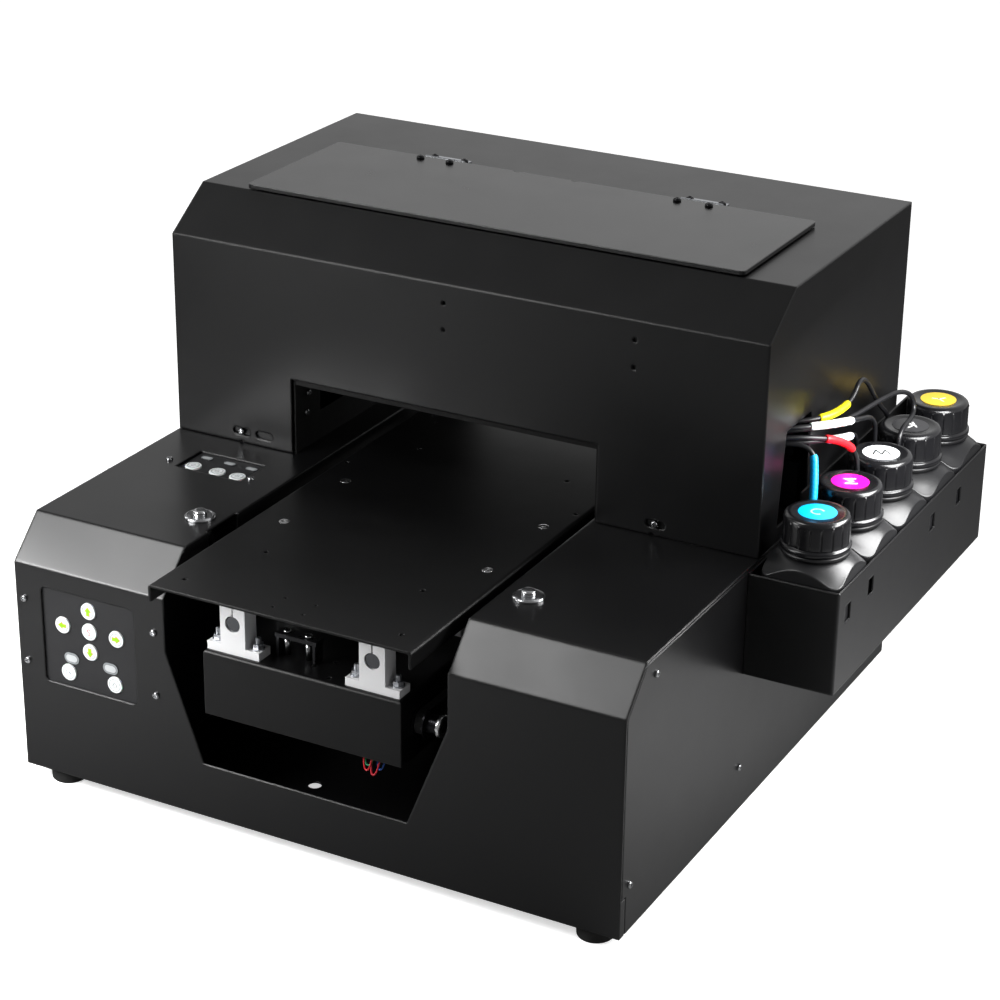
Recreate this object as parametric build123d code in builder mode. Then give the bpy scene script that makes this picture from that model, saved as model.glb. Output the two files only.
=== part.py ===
from build123d import *
import math
import os

os.makedirs("parts", exist_ok=True)

# Flatbed UV printer. Millimetres, +Z up, front towards -Y.
# The origin is the middle of the printer's footprint on the floor. Every place below is
# written from the base's left front corner at floor level, and corner() carries it over.

# ---- driving dimensions ----
SHEET = 1.5                      # steel sheet of the casings
BEND = 2.5                       # outer radius of a bend
BASE_W = 480.0
BASE_D = 480.0
BASE_H = 203.0                   # top of the deck
BASE_Z = 12.0                    # gap under the base
FRONT_H = 174.5                  # top of the upright front face
CHAMFER = BASE_H - FRONT_H       # sloped edge between front face and deck
HOOD_Y0, HOOD_Y1 = 206.0, 470.0
HOOD_H = 388.0
HOOD_FRONT_H = 359.0
HOOD_SLOPE = 42.0
HOOD_OPENING = (102.0, 355.0, 262.5)      # two sides and the top edge
CHANNEL = (127.0, 351.0)                  # gap between the two decks
NOTCH_FOOT = (156.0, 320.0, 54.0)         # bottom of the notch in the front face
NOTCH_KNEE = 134.0                        # where the notch's sides turn upright
TABLE_X = (137.0, 341.0)
TABLE_Y = (-30.0, 348.0)
TABLE_H = 201.0
TABLE_FLANGE = 12.5
BEAM_X = (161.0, 317.5)
BEAM_Y = (-3.0, 455.0)
BEAM_Z = (97.0, 146.0)
ROD_X = (183.5, 293.5)                    # the two table rods
ROD_Z = BEAM_Z[1] + 23.0
ROD_R = 6.0
TRAY_W = 67.0                             # ink tray, outside the base
TRAY_Y = (188.0, 492.0)
TRAY_Z = (123.0, 200.0)
BOTTLE_W = 59.4
BOTTLE_PITCH = 60.2
CAP_R = 23.0
CAP_TOP = 242.0
TUBE_D = 3.6
LID_X = (39.5, 441.0)
LID_Y = (248.0, 379.0)
LID_Z = (389.0, 392.0)
HINGE_Y, HINGE_Z = 382.5, 389.9
SCREW_CLEAR = 1.7                         # radius of a hole for an M3 screw
SIDE_KNOB = 5.0                           # how far the side thumbscrew stands out

LEFT = -(BASE_W + TRAY_W - SIDE_KNOB) / 2
FRONT = -(TRAY_Y[1] + TABLE_Y[0]) / 2
TURN = {"x": (0, 90, 0), "y": (90, 0, 0), "z": (0, 0, 0)}


# ---- places and simple shapes, from the base's left front corner ----
def corner(x, y, z):
    return (LEFT + x, FRONT + y, z)


def top_plane(z):
    return Plane(origin=corner(0, 0, z))


def front_plane(y):
    """Looks at the printer's front: local x to the right, local y up."""
    return Plane(origin=corner(0, y, 0), x_dir=(1, 0, 0), z_dir=(0, -1, 0))


def side_plane(x):
    """Looks at the printer's right side: local x to the rear, local y up."""
    return Plane(origin=corner(x, 0, 0), x_dir=(0, 1, 0), z_dir=(1, 0, 0))


def spots(plane, points):
    return [plane.location * Location((u, v, 0)) for u, v in points]


def block(x, y, z, mode=Mode.ADD):
    """A box between pairs of x, y and z planes."""
    with Locations(corner(sum(x) / 2, sum(y) / 2, sum(z) / 2)):
        Box(x[1] - x[0], y[1] - y[0], z[1] - z[0], mode=mode)


def rod(axis, start, length, radius, mode=Mode.ADD):
    """A cylinder along +x, +y or +z from the middle of its first end."""
    middle = list(start)
    middle["xyz".index(axis)] += length / 2
    with Locations(corner(*middle)):
        Cylinder(radius, length, rotation=TURN[axis], mode=mode)


def outline(plane, points, radius=0):
    """A filled polygon, its corners rounded if a radius is given."""
    with BuildSketch(plane) as face:
        with BuildLine():
            Polyline(*points, close=True)
        make_face()
        if radius:
            fillet(face.vertices(), radius)
    return face.sketch


def bent_sheet(plane, points, side):
    """The section of a sheet bent along a line of points."""
    with BuildSketch(plane) as section:
        with BuildLine():
            FilletPolyline(*points, radius=BEND)
            offset(amount=SHEET, side=side)
        make_face()
    return section.sketch


def pan_screw(head_r=2.6, head_h=1.9, shank_r=1.45, shank=7.0):
    """A pan-head cross-recess screw standing on z = 0."""
    with BuildPart() as screw:
        Cylinder(head_r, head_h, align=(Align.CENTER, Align.CENTER, Align.MIN))
        fillet(screw.edges().sort_by(Axis.Z)[-1], head_h * 0.6)
        Cylinder(shank_r, shank, align=(Align.CENTER, Align.CENTER, Align.MAX))
        for size in ((head_r * 1.1, 0.7), (0.7, head_r * 1.1)):
            with Locations((0, 0, head_h)):
                Box(*size, head_h, mode=Mode.SUBTRACT)
    return screw.part


# ---- screw places, as (across, up) or (across, back) ----
FRONT_SCREWS = [(6.8, 147), (6.8, 98), (118, 147), (118, 98)]
DECK_SCREWS = [(29, 151), (101.5, 150)]
SIDE_SCREWS = [(42.4, 189), (190, 48), (12.4, 48), (370, 48), (462, 48)]
HOOD_SLOTS = [(57, 212, True), (77, 212, False), (401, 212, True)]
HOOD_HOLES = [(231, 345), (231, 325), (380.5, 345), (380.5, 325)]
BRACKET_SCREWS = [(226, 246), (223, 231)]
LID_SCREWS = [(117.5, 371.5), (143, 371.5), (334, 371.5), (359.5, 371.5)]
LEAF_SCREWS = [(120.5, 388.6), (146.5, 388.6), (336.5, 388.6), (362.5, 388.6)]
TABLE_SCREWS = [(x, y) for x in (160.5, 324) for y in (103, 186)]
TRAY_SCREWS = [(538, 240), (538, 292)]
HINGE_X = (133.0, 349.0)

# ---- controls ----
KEY_R = 6.2
FRONT_KEYS = {
    "up_key": (61.8, 149), "left_key": (38.8, 133), "stop_key": (61.8, 133),
    "right_key": (85, 133), "down_key": (61.8, 117), "enter_key": (42, 96.4),
    "ink_key": (82, 96.4)}
DECK_KEYS = {"deck_power_key": (50, 151.5), "deck_ink_key": (71.5, 151), "deck_feed_key": (89.5, 150.5)}
FRONT_LAMPS = [(45, 108.2), (78.5, 108.4)]
DECK_LAMPS = [(50, 169.5), (70.5, 169), (90, 168.5)]
CONTROL_WINDOW = (21.8, 101.0, 85.7, 160.0)
DECK_WINDOW = (40.0, 97.0, 143.0, 177.0)
PUSH_BUTTONS = {"left_push_button": (108, 75), "right_push_button": (370.4, 75)}


# ---- base casing ----
side_outline = [(0, BASE_Z), (0, FRONT_H), (CHAMFER, BASE_H), (BASE_D - SHEET, BASE_H)]
channel_web = [(0.8, 60), (0.8, FRONT_H - 0.6), (CHAMFER + 0.4, BASE_H - 0.8),
               (BASE_D - SHEET, BASE_H - 0.8), (BASE_D - SHEET, 60)]
notch = [(NOTCH_FOOT[0], NOTCH_FOOT[2]), (NOTCH_FOOT[1], NOTCH_FOOT[2]), (CHANNEL[1], NOTCH_KNEE),
         (CHANNEL[1], BASE_H + 5), (CHANNEL[0], BASE_H + 5), (CHANNEL[0], NOTCH_KNEE)]

with BuildPart() as base_cover:
    # front face, slope and deck are one bent sheet, split by the table's channel
    extrude(bent_sheet(side_plane(0), side_outline, Side.RIGHT), amount=BASE_W)
    extrude(outline(front_plane(-1), notch), amount=-BASE_D - 2, mode=Mode.SUBTRACT)
    # the deck edges turn down and wall the channel
    extrude(outline(side_plane(CHANNEL[0] - SHEET), channel_web), amount=SHEET)
    extrude(outline(side_plane(CHANNEL[1]), channel_web), amount=SHEET)
    block((CHANNEL[0] - 2, CHANNEL[0] + 1), (57, 94), (188, 205), Mode.SUBTRACT)
    # ears at the foot of the front face wrap the corners
    for x in (0, BASE_W - SHEET):
        block((x, x + SHEET), (0.5, 7), (BASE_Z, 40))
    # upstands that the hood's front edge is screwed to
    for u, v, screwed in HOOD_SLOTS:
        block((u - 8.5, u + 8.5), (HOOD_Y0 + SHEET + 0.3, HOOD_Y0 + 2 * SHEET + 0.3), (BASE_H - 1, v + 8))
    x0, x1, z0, z1 = CONTROL_WINDOW
    with BuildSketch(front_plane(-2)) as window_face:
        with Locations(((x0 + x1) / 2, (z0 + z1) / 2)):
            RectangleRounded(x1 - x0, z1 - z0, 4)
    extrude(amount=-6, mode=Mode.SUBTRACT)
    block(DECK_WINDOW[:2], DECK_WINDOW[2:], (BASE_H - 5, BASE_H + 5), Mode.SUBTRACT)
    with Locations(*spots(front_plane(0), FRONT_SCREWS)):
        Cylinder(SCREW_CLEAR, 8, mode=Mode.SUBTRACT)
    with Locations(*spots(top_plane(BASE_H), DECK_SCREWS)):
        Cylinder(SCREW_CLEAR, 8, mode=Mode.SUBTRACT)
    with Locations(*spots(top_plane(BASE_H), PUSH_BUTTONS.values())):
        Cylinder(9.7, 8, mode=Mode.SUBTRACT)
    hood_screw_spots = [(u, v) for u, v, screwed in HOOD_SLOTS if screwed]
    with Locations(*spots(front_plane(HOOD_Y0 + 3), hood_screw_spots)):
        Cylinder(SCREW_CLEAR, 8, mode=Mode.SUBTRACT)
base_cover.part.label = "base_cover"
export_step(base_cover.part, "parts/base_cover.step")

FLOOR_Z = BASE_Z + 2.0
INLET = (385.0, 433.0, 34.0, 62.0)        # cut-out for the power inlet in the rear wall

with BuildPart() as base_pan:
    # floor and rear wall, one bent sheet
    pan_line = [(4, FLOOR_Z), (BASE_D, FLOOR_Z), (BASE_D, BASE_H)]
    extrude(bent_sheet(side_plane(2), pan_line, Side.LEFT), amount=BASE_W - 4)
    for x in (2, BASE_W - 2 - SHEET):
        block((x, x + SHEET), (6, BASE_D - 2), (FLOOR_Z, FLOOR_Z + 40))
        with Locations(*spots(side_plane(x), SIDE_SCREWS)):
            Cylinder(SCREW_CLEAR, 8, mode=Mode.SUBTRACT)
    block((CHANNEL[0] - 2, CHANNEL[1] + 2), (BASE_D - 5, BASE_D + 5), (135, BASE_H + 5), Mode.SUBTRACT)
    block(INLET[:2], (BASE_D - 5, BASE_D + 5), INLET[2:], Mode.SUBTRACT)
    # air slots for the power supply and the board
    with Locations(*spots(front_plane(BASE_D), [(x, z) for x in range(30, 111, 10) for z in (60, 95)])):
        Box(4, 25, 8, mode=Mode.SUBTRACT)
    with Locations(*spots(top_plane(FLOOR_Z), [(203, 70), (60, 240), (420, 240)])):
        Cylinder(5, 8, mode=Mode.SUBTRACT)
base_pan.part.label = "base_pan"
export_step(base_pan.part, "parts/base_pan.step")

with BuildPart() as side_panels:
    # set in from the bent cover's edge, with a dark seam between
    inset = SHEET + 0.6
    panel_outline = [(8, BASE_Z), (8, 41), (inset, 41), (inset, FRONT_H - 0.7),
                     (CHAMFER + 0.8, BASE_H - inset), (BASE_D, BASE_H - inset), (BASE_D, BASE_Z)]
    for x in (0, BASE_W - SHEET):
        extrude(outline(side_plane(x), panel_outline, 0.8), amount=SHEET)
    for x in (0, BASE_W):
        with Locations(*spots(side_plane(x), SIDE_SCREWS)):
            Cylinder(SCREW_CLEAR, 8, mode=Mode.SUBTRACT)
    with Locations(*spots(side_plane(0), [(119, 197)])):
        Cylinder(2.2, 8, mode=Mode.SUBTRACT)
side_panels.part.label = "side_panels"
export_step(side_panels.part, "parts/side_panels.step")

FOOT_SPOTS = [(x, y) for x in (25, BASE_W - 25) for y in (17, BASE_D - 24)]
with BuildPart() as rubber_feet:
    with BuildSketch(Plane.XY) as foot_face:
        with Locations(*[corner(x, y, 0)[:2] for x, y in FOOT_SPOTS]):
            Circle(13.0)
    extrude(amount=FLOOR_Z, taper=-3)
    fillet(rubber_feet.edges().group_by(Axis.Z)[0], 1.2)
rubber_feet.part.label = "rubber_feet"
export_step(rubber_feet.part, "parts/rubber_feet.step")

# ---- hood ----
hood_outline = [(HOOD_Y0, BASE_H + 0.4), (HOOD_Y0, HOOD_FRONT_H), (HOOD_Y0 + HOOD_SLOPE, HOOD_H),
                (HOOD_Y1, HOOD_H), (HOOD_Y1, BASE_H + 0.4)]
with BuildSketch(side_plane(0)) as hood_face:
    with BuildLine():
        Polyline(*hood_outline, close=True)
    make_face()
    fillet(hood_face.vertices().filter_by(lambda v: v.Z > BASE_H + 10), BEND)
hollow = offset(hood_face.sketch, amount=-SHEET)

with BuildPart() as hood_shell:
    extrude(hood_face.sketch, amount=BASE_W)
    fillet(hood_shell.edges().group_by(Axis.X)[-1] + hood_shell.edges().group_by(Axis.X)[0], 0.8)
    extrude(hollow.moved(Location((SHEET, 0, 0))), amount=BASE_W - 2 * SHEET, mode=Mode.SUBTRACT)
    block((SHEET, BASE_W - SHEET), (HOOD_Y0 + SHEET, HOOD_Y1 - SHEET), (BASE_H - 2, BASE_H + 6), Mode.SUBTRACT)
    block(HOOD_OPENING[:2], (HOOD_Y0 - 5, HOOD_Y0 + 5), (BASE_H - 2, HOOD_OPENING[2]), Mode.SUBTRACT)
    block((120, 358), (HOOD_Y1 - 5, HOOD_Y1 + 5), (BASE_H - 2, HOOD_OPENING[2]), Mode.SUBTRACT)
    block((LID_X[0] + 11, LID_X[1] - 11), (262, 366), (HOOD_H - 5, HOOD_H + 5), Mode.SUBTRACT)
    # mouth for the ink tubes in the right side
    tube_mouth = [(236, 215), (245, 284), (290, 284), (290, 215)]
    extrude(outline(side_plane(BASE_W - 5), tube_mouth, 2), amount=10, mode=Mode.SUBTRACT)
    for u, v, screwed in HOOD_SLOTS:
        with BuildSketch(front_plane(HOOD_Y0 - 2)) as slot_face:
            with Locations((u, v)):
                SlotOverall(15, 6)
        extrude(amount=-6, mode=Mode.SUBTRACT)
    with Locations(*spots(front_plane(HOOD_Y0), HOOD_HOLES)):
        Cylinder(1.6, 8, mode=Mode.SUBTRACT)
    with Locations(*spots(front_plane(HOOD_Y0), [(57, BASE_H), (399, BASE_H)])):
        Cylinder(2.0, 8, mode=Mode.SUBTRACT)
    with Locations(*spots(top_plane(HOOD_H), LEAF_SCREWS)):
        Cylinder(SCREW_CLEAR, 8, mode=Mode.SUBTRACT)
hood_shell.part.label = "hood_shell"
export_step(hood_shell.part, "parts/hood_shell.step")

# ---- lid and its two leaf hinges ----
with BuildPart() as lid:
    with BuildSketch(top_plane(LID_Z[0])) as lid_face:
        with Locations(((LID_X[0] + LID_X[1]) / 2, (LID_Y[0] + LID_Y[1]) / 2)):
            RectangleRounded(LID_X[1] - LID_X[0], LID_Y[1] - LID_Y[0], 4)
        with Locations((198, LID_Y[1]), (247, LID_Y[1])):
            Circle(3.0, mode=Mode.SUBTRACT)
    extrude(amount=LID_Z[1] - LID_Z[0])
    fillet(lid.edges().group_by(Axis.Z)[-1], 0.5)
    with Locations(*spots(top_plane(LID_Z[1]), LID_SCREWS)):
        Cylinder(SCREW_CLEAR, 12, mode=Mode.SUBTRACT)
lid.part.label = "lid"
export_step(lid.part, "parts/lid.step")

LEAF = 0.8
KNUCKLE_R, PIN_R = 1.8, 0.8
LEAF_W = 34.0
lid_screw = pan_screw(head_h=2.2, shank=3.6)

with BuildPart() as lid_hinge_leaves:
    # moving leaves under the lid, with the middle knuckle
    leaf_top = LID_Z[0]
    for x in HINGE_X:
        block((x - LEAF_W / 2, x + LEAF_W / 2), (364, HINGE_Y - 2.6), (leaf_top - LEAF, leaf_top))
        block((x - 8, x + 8), (HINGE_Y - 3, HINGE_Y), (leaf_top - LEAF, leaf_top))
        rod("x", (x - 8, HINGE_Y, HINGE_Z), 16, KNUCKLE_R)
        rod("x", (x - 9, HINGE_Y, HINGE_Z), 18, PIN_R + 0.05, Mode.SUBTRACT)
    with Locations(*spots(top_plane(leaf_top), LID_SCREWS)):
        Cylinder(SCREW_CLEAR, 4, mode=Mode.SUBTRACT)
    with Locations(*spots(top_plane(LID_Z[1]), LID_SCREWS)):
        add(lid_screw)
lid_hinge_leaves.part.label = "lid_hinge_leaves"
export_step(lid_hinge_leaves.part, "parts/lid_hinge_leaves.step")

with BuildPart() as hood_hinge_leaves:
    # fixed leaves on the hood, with the end knuckles and the pin
    for x in HINGE_X:
        block((x - LEAF_W / 2, x + LEAF_W / 2), (HINGE_Y + 2.4, 394), (HOOD_H, HOOD_H + LEAF))
        for end in (x - LEAF_W / 2, x + LEAF_W / 2 - 8):
            block((end, end + 8), (HINGE_Y, HINGE_Y + 3), (HOOD_H, HOOD_H + LEAF))
            rod("x", (end, HINGE_Y, HINGE_Z), 8, KNUCKLE_R)
        rod("x", (x - LEAF_W / 2 - 0.5, HINGE_Y, HINGE_Z), LEAF_W + 1, PIN_R)
    with Locations(*spots(top_plane(HOOD_H), LEAF_SCREWS)):
        Cylinder(SCREW_CLEAR, 4, mode=Mode.SUBTRACT)
hood_hinge_leaves.part.label = "hood_hinge_leaves"
export_step(hood_hinge_leaves.part, "parts/hood_hinge_leaves.step")

# ---- control plates, keys and push buttons ----
PLATE = 2.0
FRONT_PLATE_Y = SHEET + 0.1
DECK_PLATE_Z = BASE_H - SHEET - 0.1

with BuildPart() as panel_plates:
    block((3.5, 121), (FRONT_PLATE_Y, FRONT_PLATE_Y + PLATE), (78, 168))
    block((22, 109), (137, 184), (DECK_PLATE_Z - PLATE, DECK_PLATE_Z))
    with Locations(*spots(front_plane(FRONT_PLATE_Y), FRONT_KEYS.values())):
        Cylinder(KEY_R + 0.3, 8, mode=Mode.SUBTRACT)
    with Locations(*spots(top_plane(DECK_PLATE_Z), DECK_KEYS.values())):
        Cylinder(KEY_R + 0.3, 8, mode=Mode.SUBTRACT)
    with Locations(*spots(front_plane(FRONT_PLATE_Y), FRONT_SCREWS)):
        Cylinder(SCREW_CLEAR, 8, mode=Mode.SUBTRACT)
    with Locations(*spots(top_plane(DECK_PLATE_Z), DECK_SCREWS)):
        Cylinder(SCREW_CLEAR, 8, mode=Mode.SUBTRACT)
    # lamp windows stand a little proud of the plates
    with BuildSketch(front_plane(FRONT_PLATE_Y + 0.5)) as front_lamps:
        with Locations(*FRONT_LAMPS):
            SlotOverall(12.6, 8.4)
    extrude(amount=1.0)
    with BuildSketch(top_plane(DECK_PLATE_Z - 0.5)) as deck_lamps:
        with Locations(*DECK_LAMPS):
            SlotOverall(9.5, 5.0)
    extrude(amount=1.0)
panel_plates.part.label = "panel_plates"
export_step(panel_plates.part, "parts/panel_plates.step")


def key(stem, skirt):
    """A round key along +z with its face at z = 0 and a skirt that keeps it in its plate."""
    with BuildPart() as cap:
        Cylinder(KEY_R, stem, align=(Align.CENTER, Align.CENTER, Align.MAX))
        fillet(cap.edges().sort_by(Axis.Z)[-1], 0.5)
        with Locations((0, 0, -stem)):
            Cylinder(KEY_R + 1.2, skirt, align=(Align.CENTER, Align.CENTER, Align.MAX))
    return cap.part


front_key = key(stem=PLATE + 1.5, skirt=1.2)
for name, (x, z) in FRONT_KEYS.items():
    with BuildPart() as front_key_here:
        with Locations(*spots(front_plane(FRONT_PLATE_Y - 1.2), [(x, z)])):
            add(front_key)
    front_key_here.part.label = name
    export_step(front_key_here.part, f"parts/{name}.step")

deck_key = key(stem=PLATE + 1.7, skirt=1.2)
for name, (x, y) in DECK_KEYS.items():
    with BuildPart() as deck_key_here:
        with Locations(*spots(top_plane(DECK_PLATE_Z + 1.4), [(x, y)])):
            add(deck_key)
    deck_key_here.part.label = name
    export_step(deck_key_here.part, f"parts/{name}.step")

with BuildPart() as button_bezels:
    # stepped flange above the deck, threaded barrel and nut below it
    for x, y in PUSH_BUTTONS.values():
        rod("z", (x, y, BASE_H), 1.4, 11.2)
        rod("z", (x, y, BASE_H + 1.4), 1.0, 8.6)
        rod("z", (x, y, BASE_H - 26), 26, 9.4)
    with BuildSketch(top_plane(BASE_H - SHEET - 3)) as nuts:
        with Locations(*PUSH_BUTTONS.values()):
            RegularPolygon(12.5, 6)
    extrude(nuts.sketch, amount=3)
    for x, y in PUSH_BUTTONS.values():
        rod("z", (x, y, BASE_H - 12), 20, 5.2, Mode.SUBTRACT)
button_bezels.part.label = "button_bezels"
export_step(button_bezels.part, "parts/button_bezels.step")

for name, (x, y) in PUSH_BUTTONS.items():
    with BuildPart() as push_button:
        rod("z", (x, y, BASE_H - 9), 15, 4.9)
        fillet(push_button.edges().sort_by(Axis.Z)[-1], 0.8)
    push_button.part.label = name
    export_step(push_button.part, f"parts/{name}.step")

# ---- lift beam: the table rods ride on it ----
SCREW_X, SCREW_Y = 239.0, 235.0           # lead screw
COLUMN_X, COLUMN_Y = (213.0, 265.0), 335.0
COLUMN_H = 133.0
BEARING_R = 10.5                          # flanged linear bearings of the columns
MOTOR_YZ = (17.5, 124.0)                  # table motor's shaft
IDLER_YZ = (425.0, MOTOR_YZ[1])           # stub axle of the belt's rear pulley
SUPPORT_Y = (0.5, 436.0)                  # front faces of the shaft supports
SUPPORT_T = 14.0
HOLE_PITCH = 32.0
STUD_SPOTS = [(x + s * HOLE_PITCH / 2, y + SUPPORT_T / 2) for x in ROD_X for y in SUPPORT_Y for s in (-1, 1)]
BEAM_SHEET = 2.0
BRACKET_STUDS = [(215, 20), (232, 20)]

with BuildPart() as lift_beam:
    block(BEAM_X, BEAM_Y, BEAM_Z)
    fillet(lift_beam.edges().group_by(Axis.Z)[-1], BEND)
    block((BEAM_X[0] + BEAM_SHEET, BEAM_X[1] - BEAM_SHEET), (BEAM_Y[0] + BEAM_SHEET, BEAM_Y[1] - BEAM_SHEET),
          (BEAM_Z[0] - 1, BEAM_Z[1] - BEAM_SHEET), Mode.SUBTRACT)
    # bolted-in floor that carries the lead nut and the column bearings
    block((BEAM_X[0] + 1, BEAM_X[1] - 1), (200, 380), (BEAM_Z[0], BEAM_Z[0] + 4))
    rod("z", (SCREW_X, SCREW_Y, BEAM_Z[0] - 5), 70, 7.0, Mode.SUBTRACT)
    for x in COLUMN_X:
        rod("z", (x, COLUMN_Y, BEAM_Z[0] - 5), 70, BEARING_R + 0.05, Mode.SUBTRACT)
    with Locations(*spots(top_plane(BEAM_Z[1]), STUD_SPOTS)):
        Cylinder(2.6, 8, mode=Mode.SUBTRACT)
    with Locations(*spots(top_plane(BEAM_Z[1]), BRACKET_STUDS)):
        Cylinder(1.7, 8, mode=Mode.SUBTRACT)
    with Locations(*spots(top_plane(BEAM_Z[1]), [(240, 14), (250, 26), (257.5, 4)])):
        Cylinder(1.8, 8, mode=Mode.SUBTRACT)
    rod("x", (BEAM_X[1] - 5, *MOTOR_YZ), 10, 11.3, Mode.SUBTRACT)
    rod("x", (BEAM_X[1] - 5, *IDLER_YZ), 10, 3.0, Mode.SUBTRACT)
lift_beam.part.label = "lift_beam"
export_step(lift_beam.part, "parts/lift_beam.step")

with BuildPart() as shaft_support:
    # standard 12 mm shaft support, 42 wide and 37.5 high, split above the bore
    with BuildSketch(Plane.XZ) as support_face:
        with Locations((0, 3)):
            Rectangle(42, 6)
        with Locations((0, 37.5 / 2)):
            Rectangle(20, 37.5)
        with Locations((0, 23)):
            Circle(ROD_R, mode=Mode.SUBTRACT)
        with Locations((0, 34)):
            Rectangle(1.2, 12, mode=Mode.SUBTRACT)
    extrude(amount=-SUPPORT_T)
    with Locations((-HOLE_PITCH / 2, SUPPORT_T / 2, 3), (HOLE_PITCH / 2, SUPPORT_T / 2, 3)):
        Cylinder(2.8, 10, mode=Mode.SUBTRACT)
    with Locations((0, SUPPORT_T / 2, 33)):
        Cylinder(1.6, 30, rotation=TURN["x"], mode=Mode.SUBTRACT)
    chamfer(shaft_support.edges().filter_by(Axis.Y).filter_by(lambda e: e.center().Z > 36), 0.4)

with BuildPart() as shaft_supports:
    with Locations(*[corner(x, y, BEAM_Z[1]) for x in ROD_X for y in SUPPORT_Y]):
        add(shaft_support.part)
shaft_supports.part.label = "shaft_supports"
export_step(shaft_supports.part, "parts/shaft_supports.step")

with BuildPart() as table_rods:
    for x in ROD_X:
        rod("y", (x, SUPPORT_Y[0] + 1, ROD_Z), SUPPORT_Y[1] + SUPPORT_T - SUPPORT_Y[0] - 2, ROD_R)
    chamfer(table_rods.edges().filter_by(GeomType.CIRCLE), 0.6)
table_rods.part.label = "table_rods"
export_step(table_rods.part, "parts/table_rods.step")

with BuildPart() as stud:
    # a stud with a washer and a nut above the support's foot and below the beam
    Cylinder(2.0, 16.5, align=(Align.CENTER, Align.CENTER, Align.MIN))
    with Locations((0, 0, 8.0)):
        Cylinder(4.6, 0.9, align=(Align.CENTER, Align.CENTER, Align.MIN))
    chamfer(stud.edges().sort_by(Axis.Z)[-1], 0.5)
    with BuildSketch(Plane.XY.offset(8.9)):
        RegularPolygon(4.0, 6)
    extrude(amount=3.2)

with BuildPart() as beam_fittings:
    with Locations(*[corner(x, y, BEAM_Z[1] - 2) for x, y in STUD_SPOTS]):
        add(stud.part)
    # lead nut flange and two flanged column bearings under and in the beam's floor
    rod("z", (SCREW_X, SCREW_Y, BEAM_Z[0] - 4), 4, 11)
    rod("z", (SCREW_X, SCREW_Y, BEAM_Z[0]), 12, 6.9)
    rod("z", (SCREW_X, SCREW_Y, BEAM_Z[0] - 5), 20, 4.08, Mode.SUBTRACT)
    for x in COLUMN_X:
        rod("z", (x, COLUMN_Y, BEAM_Z[0] - 5), 5, 16)
        rod("z", (x, COLUMN_Y, BEAM_Z[0] - 20), 24, BEARING_R)
        rod("z", (x, COLUMN_Y, BEAM_Z[0] - 21), 40, ROD_R + 0.06, Mode.SUBTRACT)
    # the rear pulley's stub axle
    rod("x", (BEAM_X[1] - 4, *IDLER_YZ), 19, 2.5)
    rod("x", (BEAM_X[1] - 4, *IDLER_YZ), 2, 5)
beam_fittings.part.label = "beam_fittings"
export_step(beam_fittings.part, "parts/beam_fittings.step")

with BuildPart() as sensor_bracket:
    # bar on two long screws, with a forked light gate beside it
    bar_z = 160.0
    block((208, 241), (15, 25), (bar_z, bar_z + 3))
    for x in (209, 238):
        block((x, x + 2), (15, 25), (BEAM_Z[1], bar_z + 1))
    with Locations(*spots(top_plane(bar_z), BRACKET_STUDS)):
        Cylinder(1.7, 8, mode=Mode.SUBTRACT)
    with Locations(*[corner(x, y, bar_z + 3) for x, y in BRACKET_STUDS]):
        add(pan_screw(head_r=2.8, head_h=2.2, shank=20))
sensor_bracket.part.label = "sensor_bracket"
export_step(sensor_bracket.part, "parts/sensor_bracket.step")


def stepper(width, length, shaft_r, shaft):
    """A square stepper motor behind z = 0, its shaft along +z."""
    with BuildPart() as motor:
        for near, far, shrink in ((0, 8, 0), (8, length - 8, 0.6), (length - 8, length, 0)):
            with Locations((0, 0, -far)):
                Box(width - 2 * shrink, width - 2 * shrink, far - near,
                    align=(Align.CENTER, Align.CENTER, Align.MIN))
        Cylinder(min(11, width / 2 - 3), 1.6, align=(Align.CENTER, Align.CENTER, Align.MIN))
        Cylinder(shaft_r, shaft, align=(Align.CENTER, Align.CENTER, Align.MIN))
    return motor.part


def belt_pulley(radius, flange_r, hub_r, hub, bore):
    """Along +z from z = 0: a flange, the land for the belt, a second flange and the hub."""
    with BuildPart() as pulley:
        for low, high, r in ((0, 1, flange_r), (1, 7.4, radius - 0.9), (7.4, 8.4, flange_r),
                             (8.4, 8.4 + hub, hub_r)):
            with Locations((0, 0, low)):
                Cylinder(r, high - low, align=(Align.CENTER, Align.CENTER, Align.MIN))
        Cylinder(bore, 2 * (9 + hub), mode=Mode.SUBTRACT)
    return pulley.part


def belt_loop(plane, ends, level, radius, width):
    """A flat belt round two equal pulleys."""
    with BuildSketch(plane) as loop:
        for r, mode in ((radius + BELT_T / 2, Mode.ADD), (radius - BELT_T / 2, Mode.SUBTRACT)):
            with Locations((sum(ends) / 2, level)):
                SlotCenterToCenter(ends[1] - ends[0], 2 * r, mode=mode)
    extrude(loop.sketch, amount=width)


BELT_T = 1.4
PULLEY_R = 8.0                            # to the middle of the table's belt
PULLEY_X = BEAM_X[1] + 2.0

with BuildPart() as table_motor:
    with Locations(*spots(side_plane(BEAM_X[1] - BEAM_SHEET), [MOTOR_YZ])):
        add(stepper(35, 30, 2.5, 22))
table_motor.part.label = "table_motor"
export_step(table_motor.part, "parts/table_motor.step")

with BuildPart() as table_drive_pulley:
    with Locations(*spots(side_plane(PULLEY_X), [MOTOR_YZ])):
        add(belt_pulley(PULLEY_R, 10.5, 6.5, 8.0, 2.55))
    rod("x", (PULLEY_X + 16.4, *MOTOR_YZ), 3, 7.6)
    rod("x", (PULLEY_X + 10, *MOTOR_YZ), 12, 2.55, Mode.SUBTRACT)
table_drive_pulley.part.label = "table_drive_pulley"
export_step(table_drive_pulley.part, "parts/table_drive_pulley.step")

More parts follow.
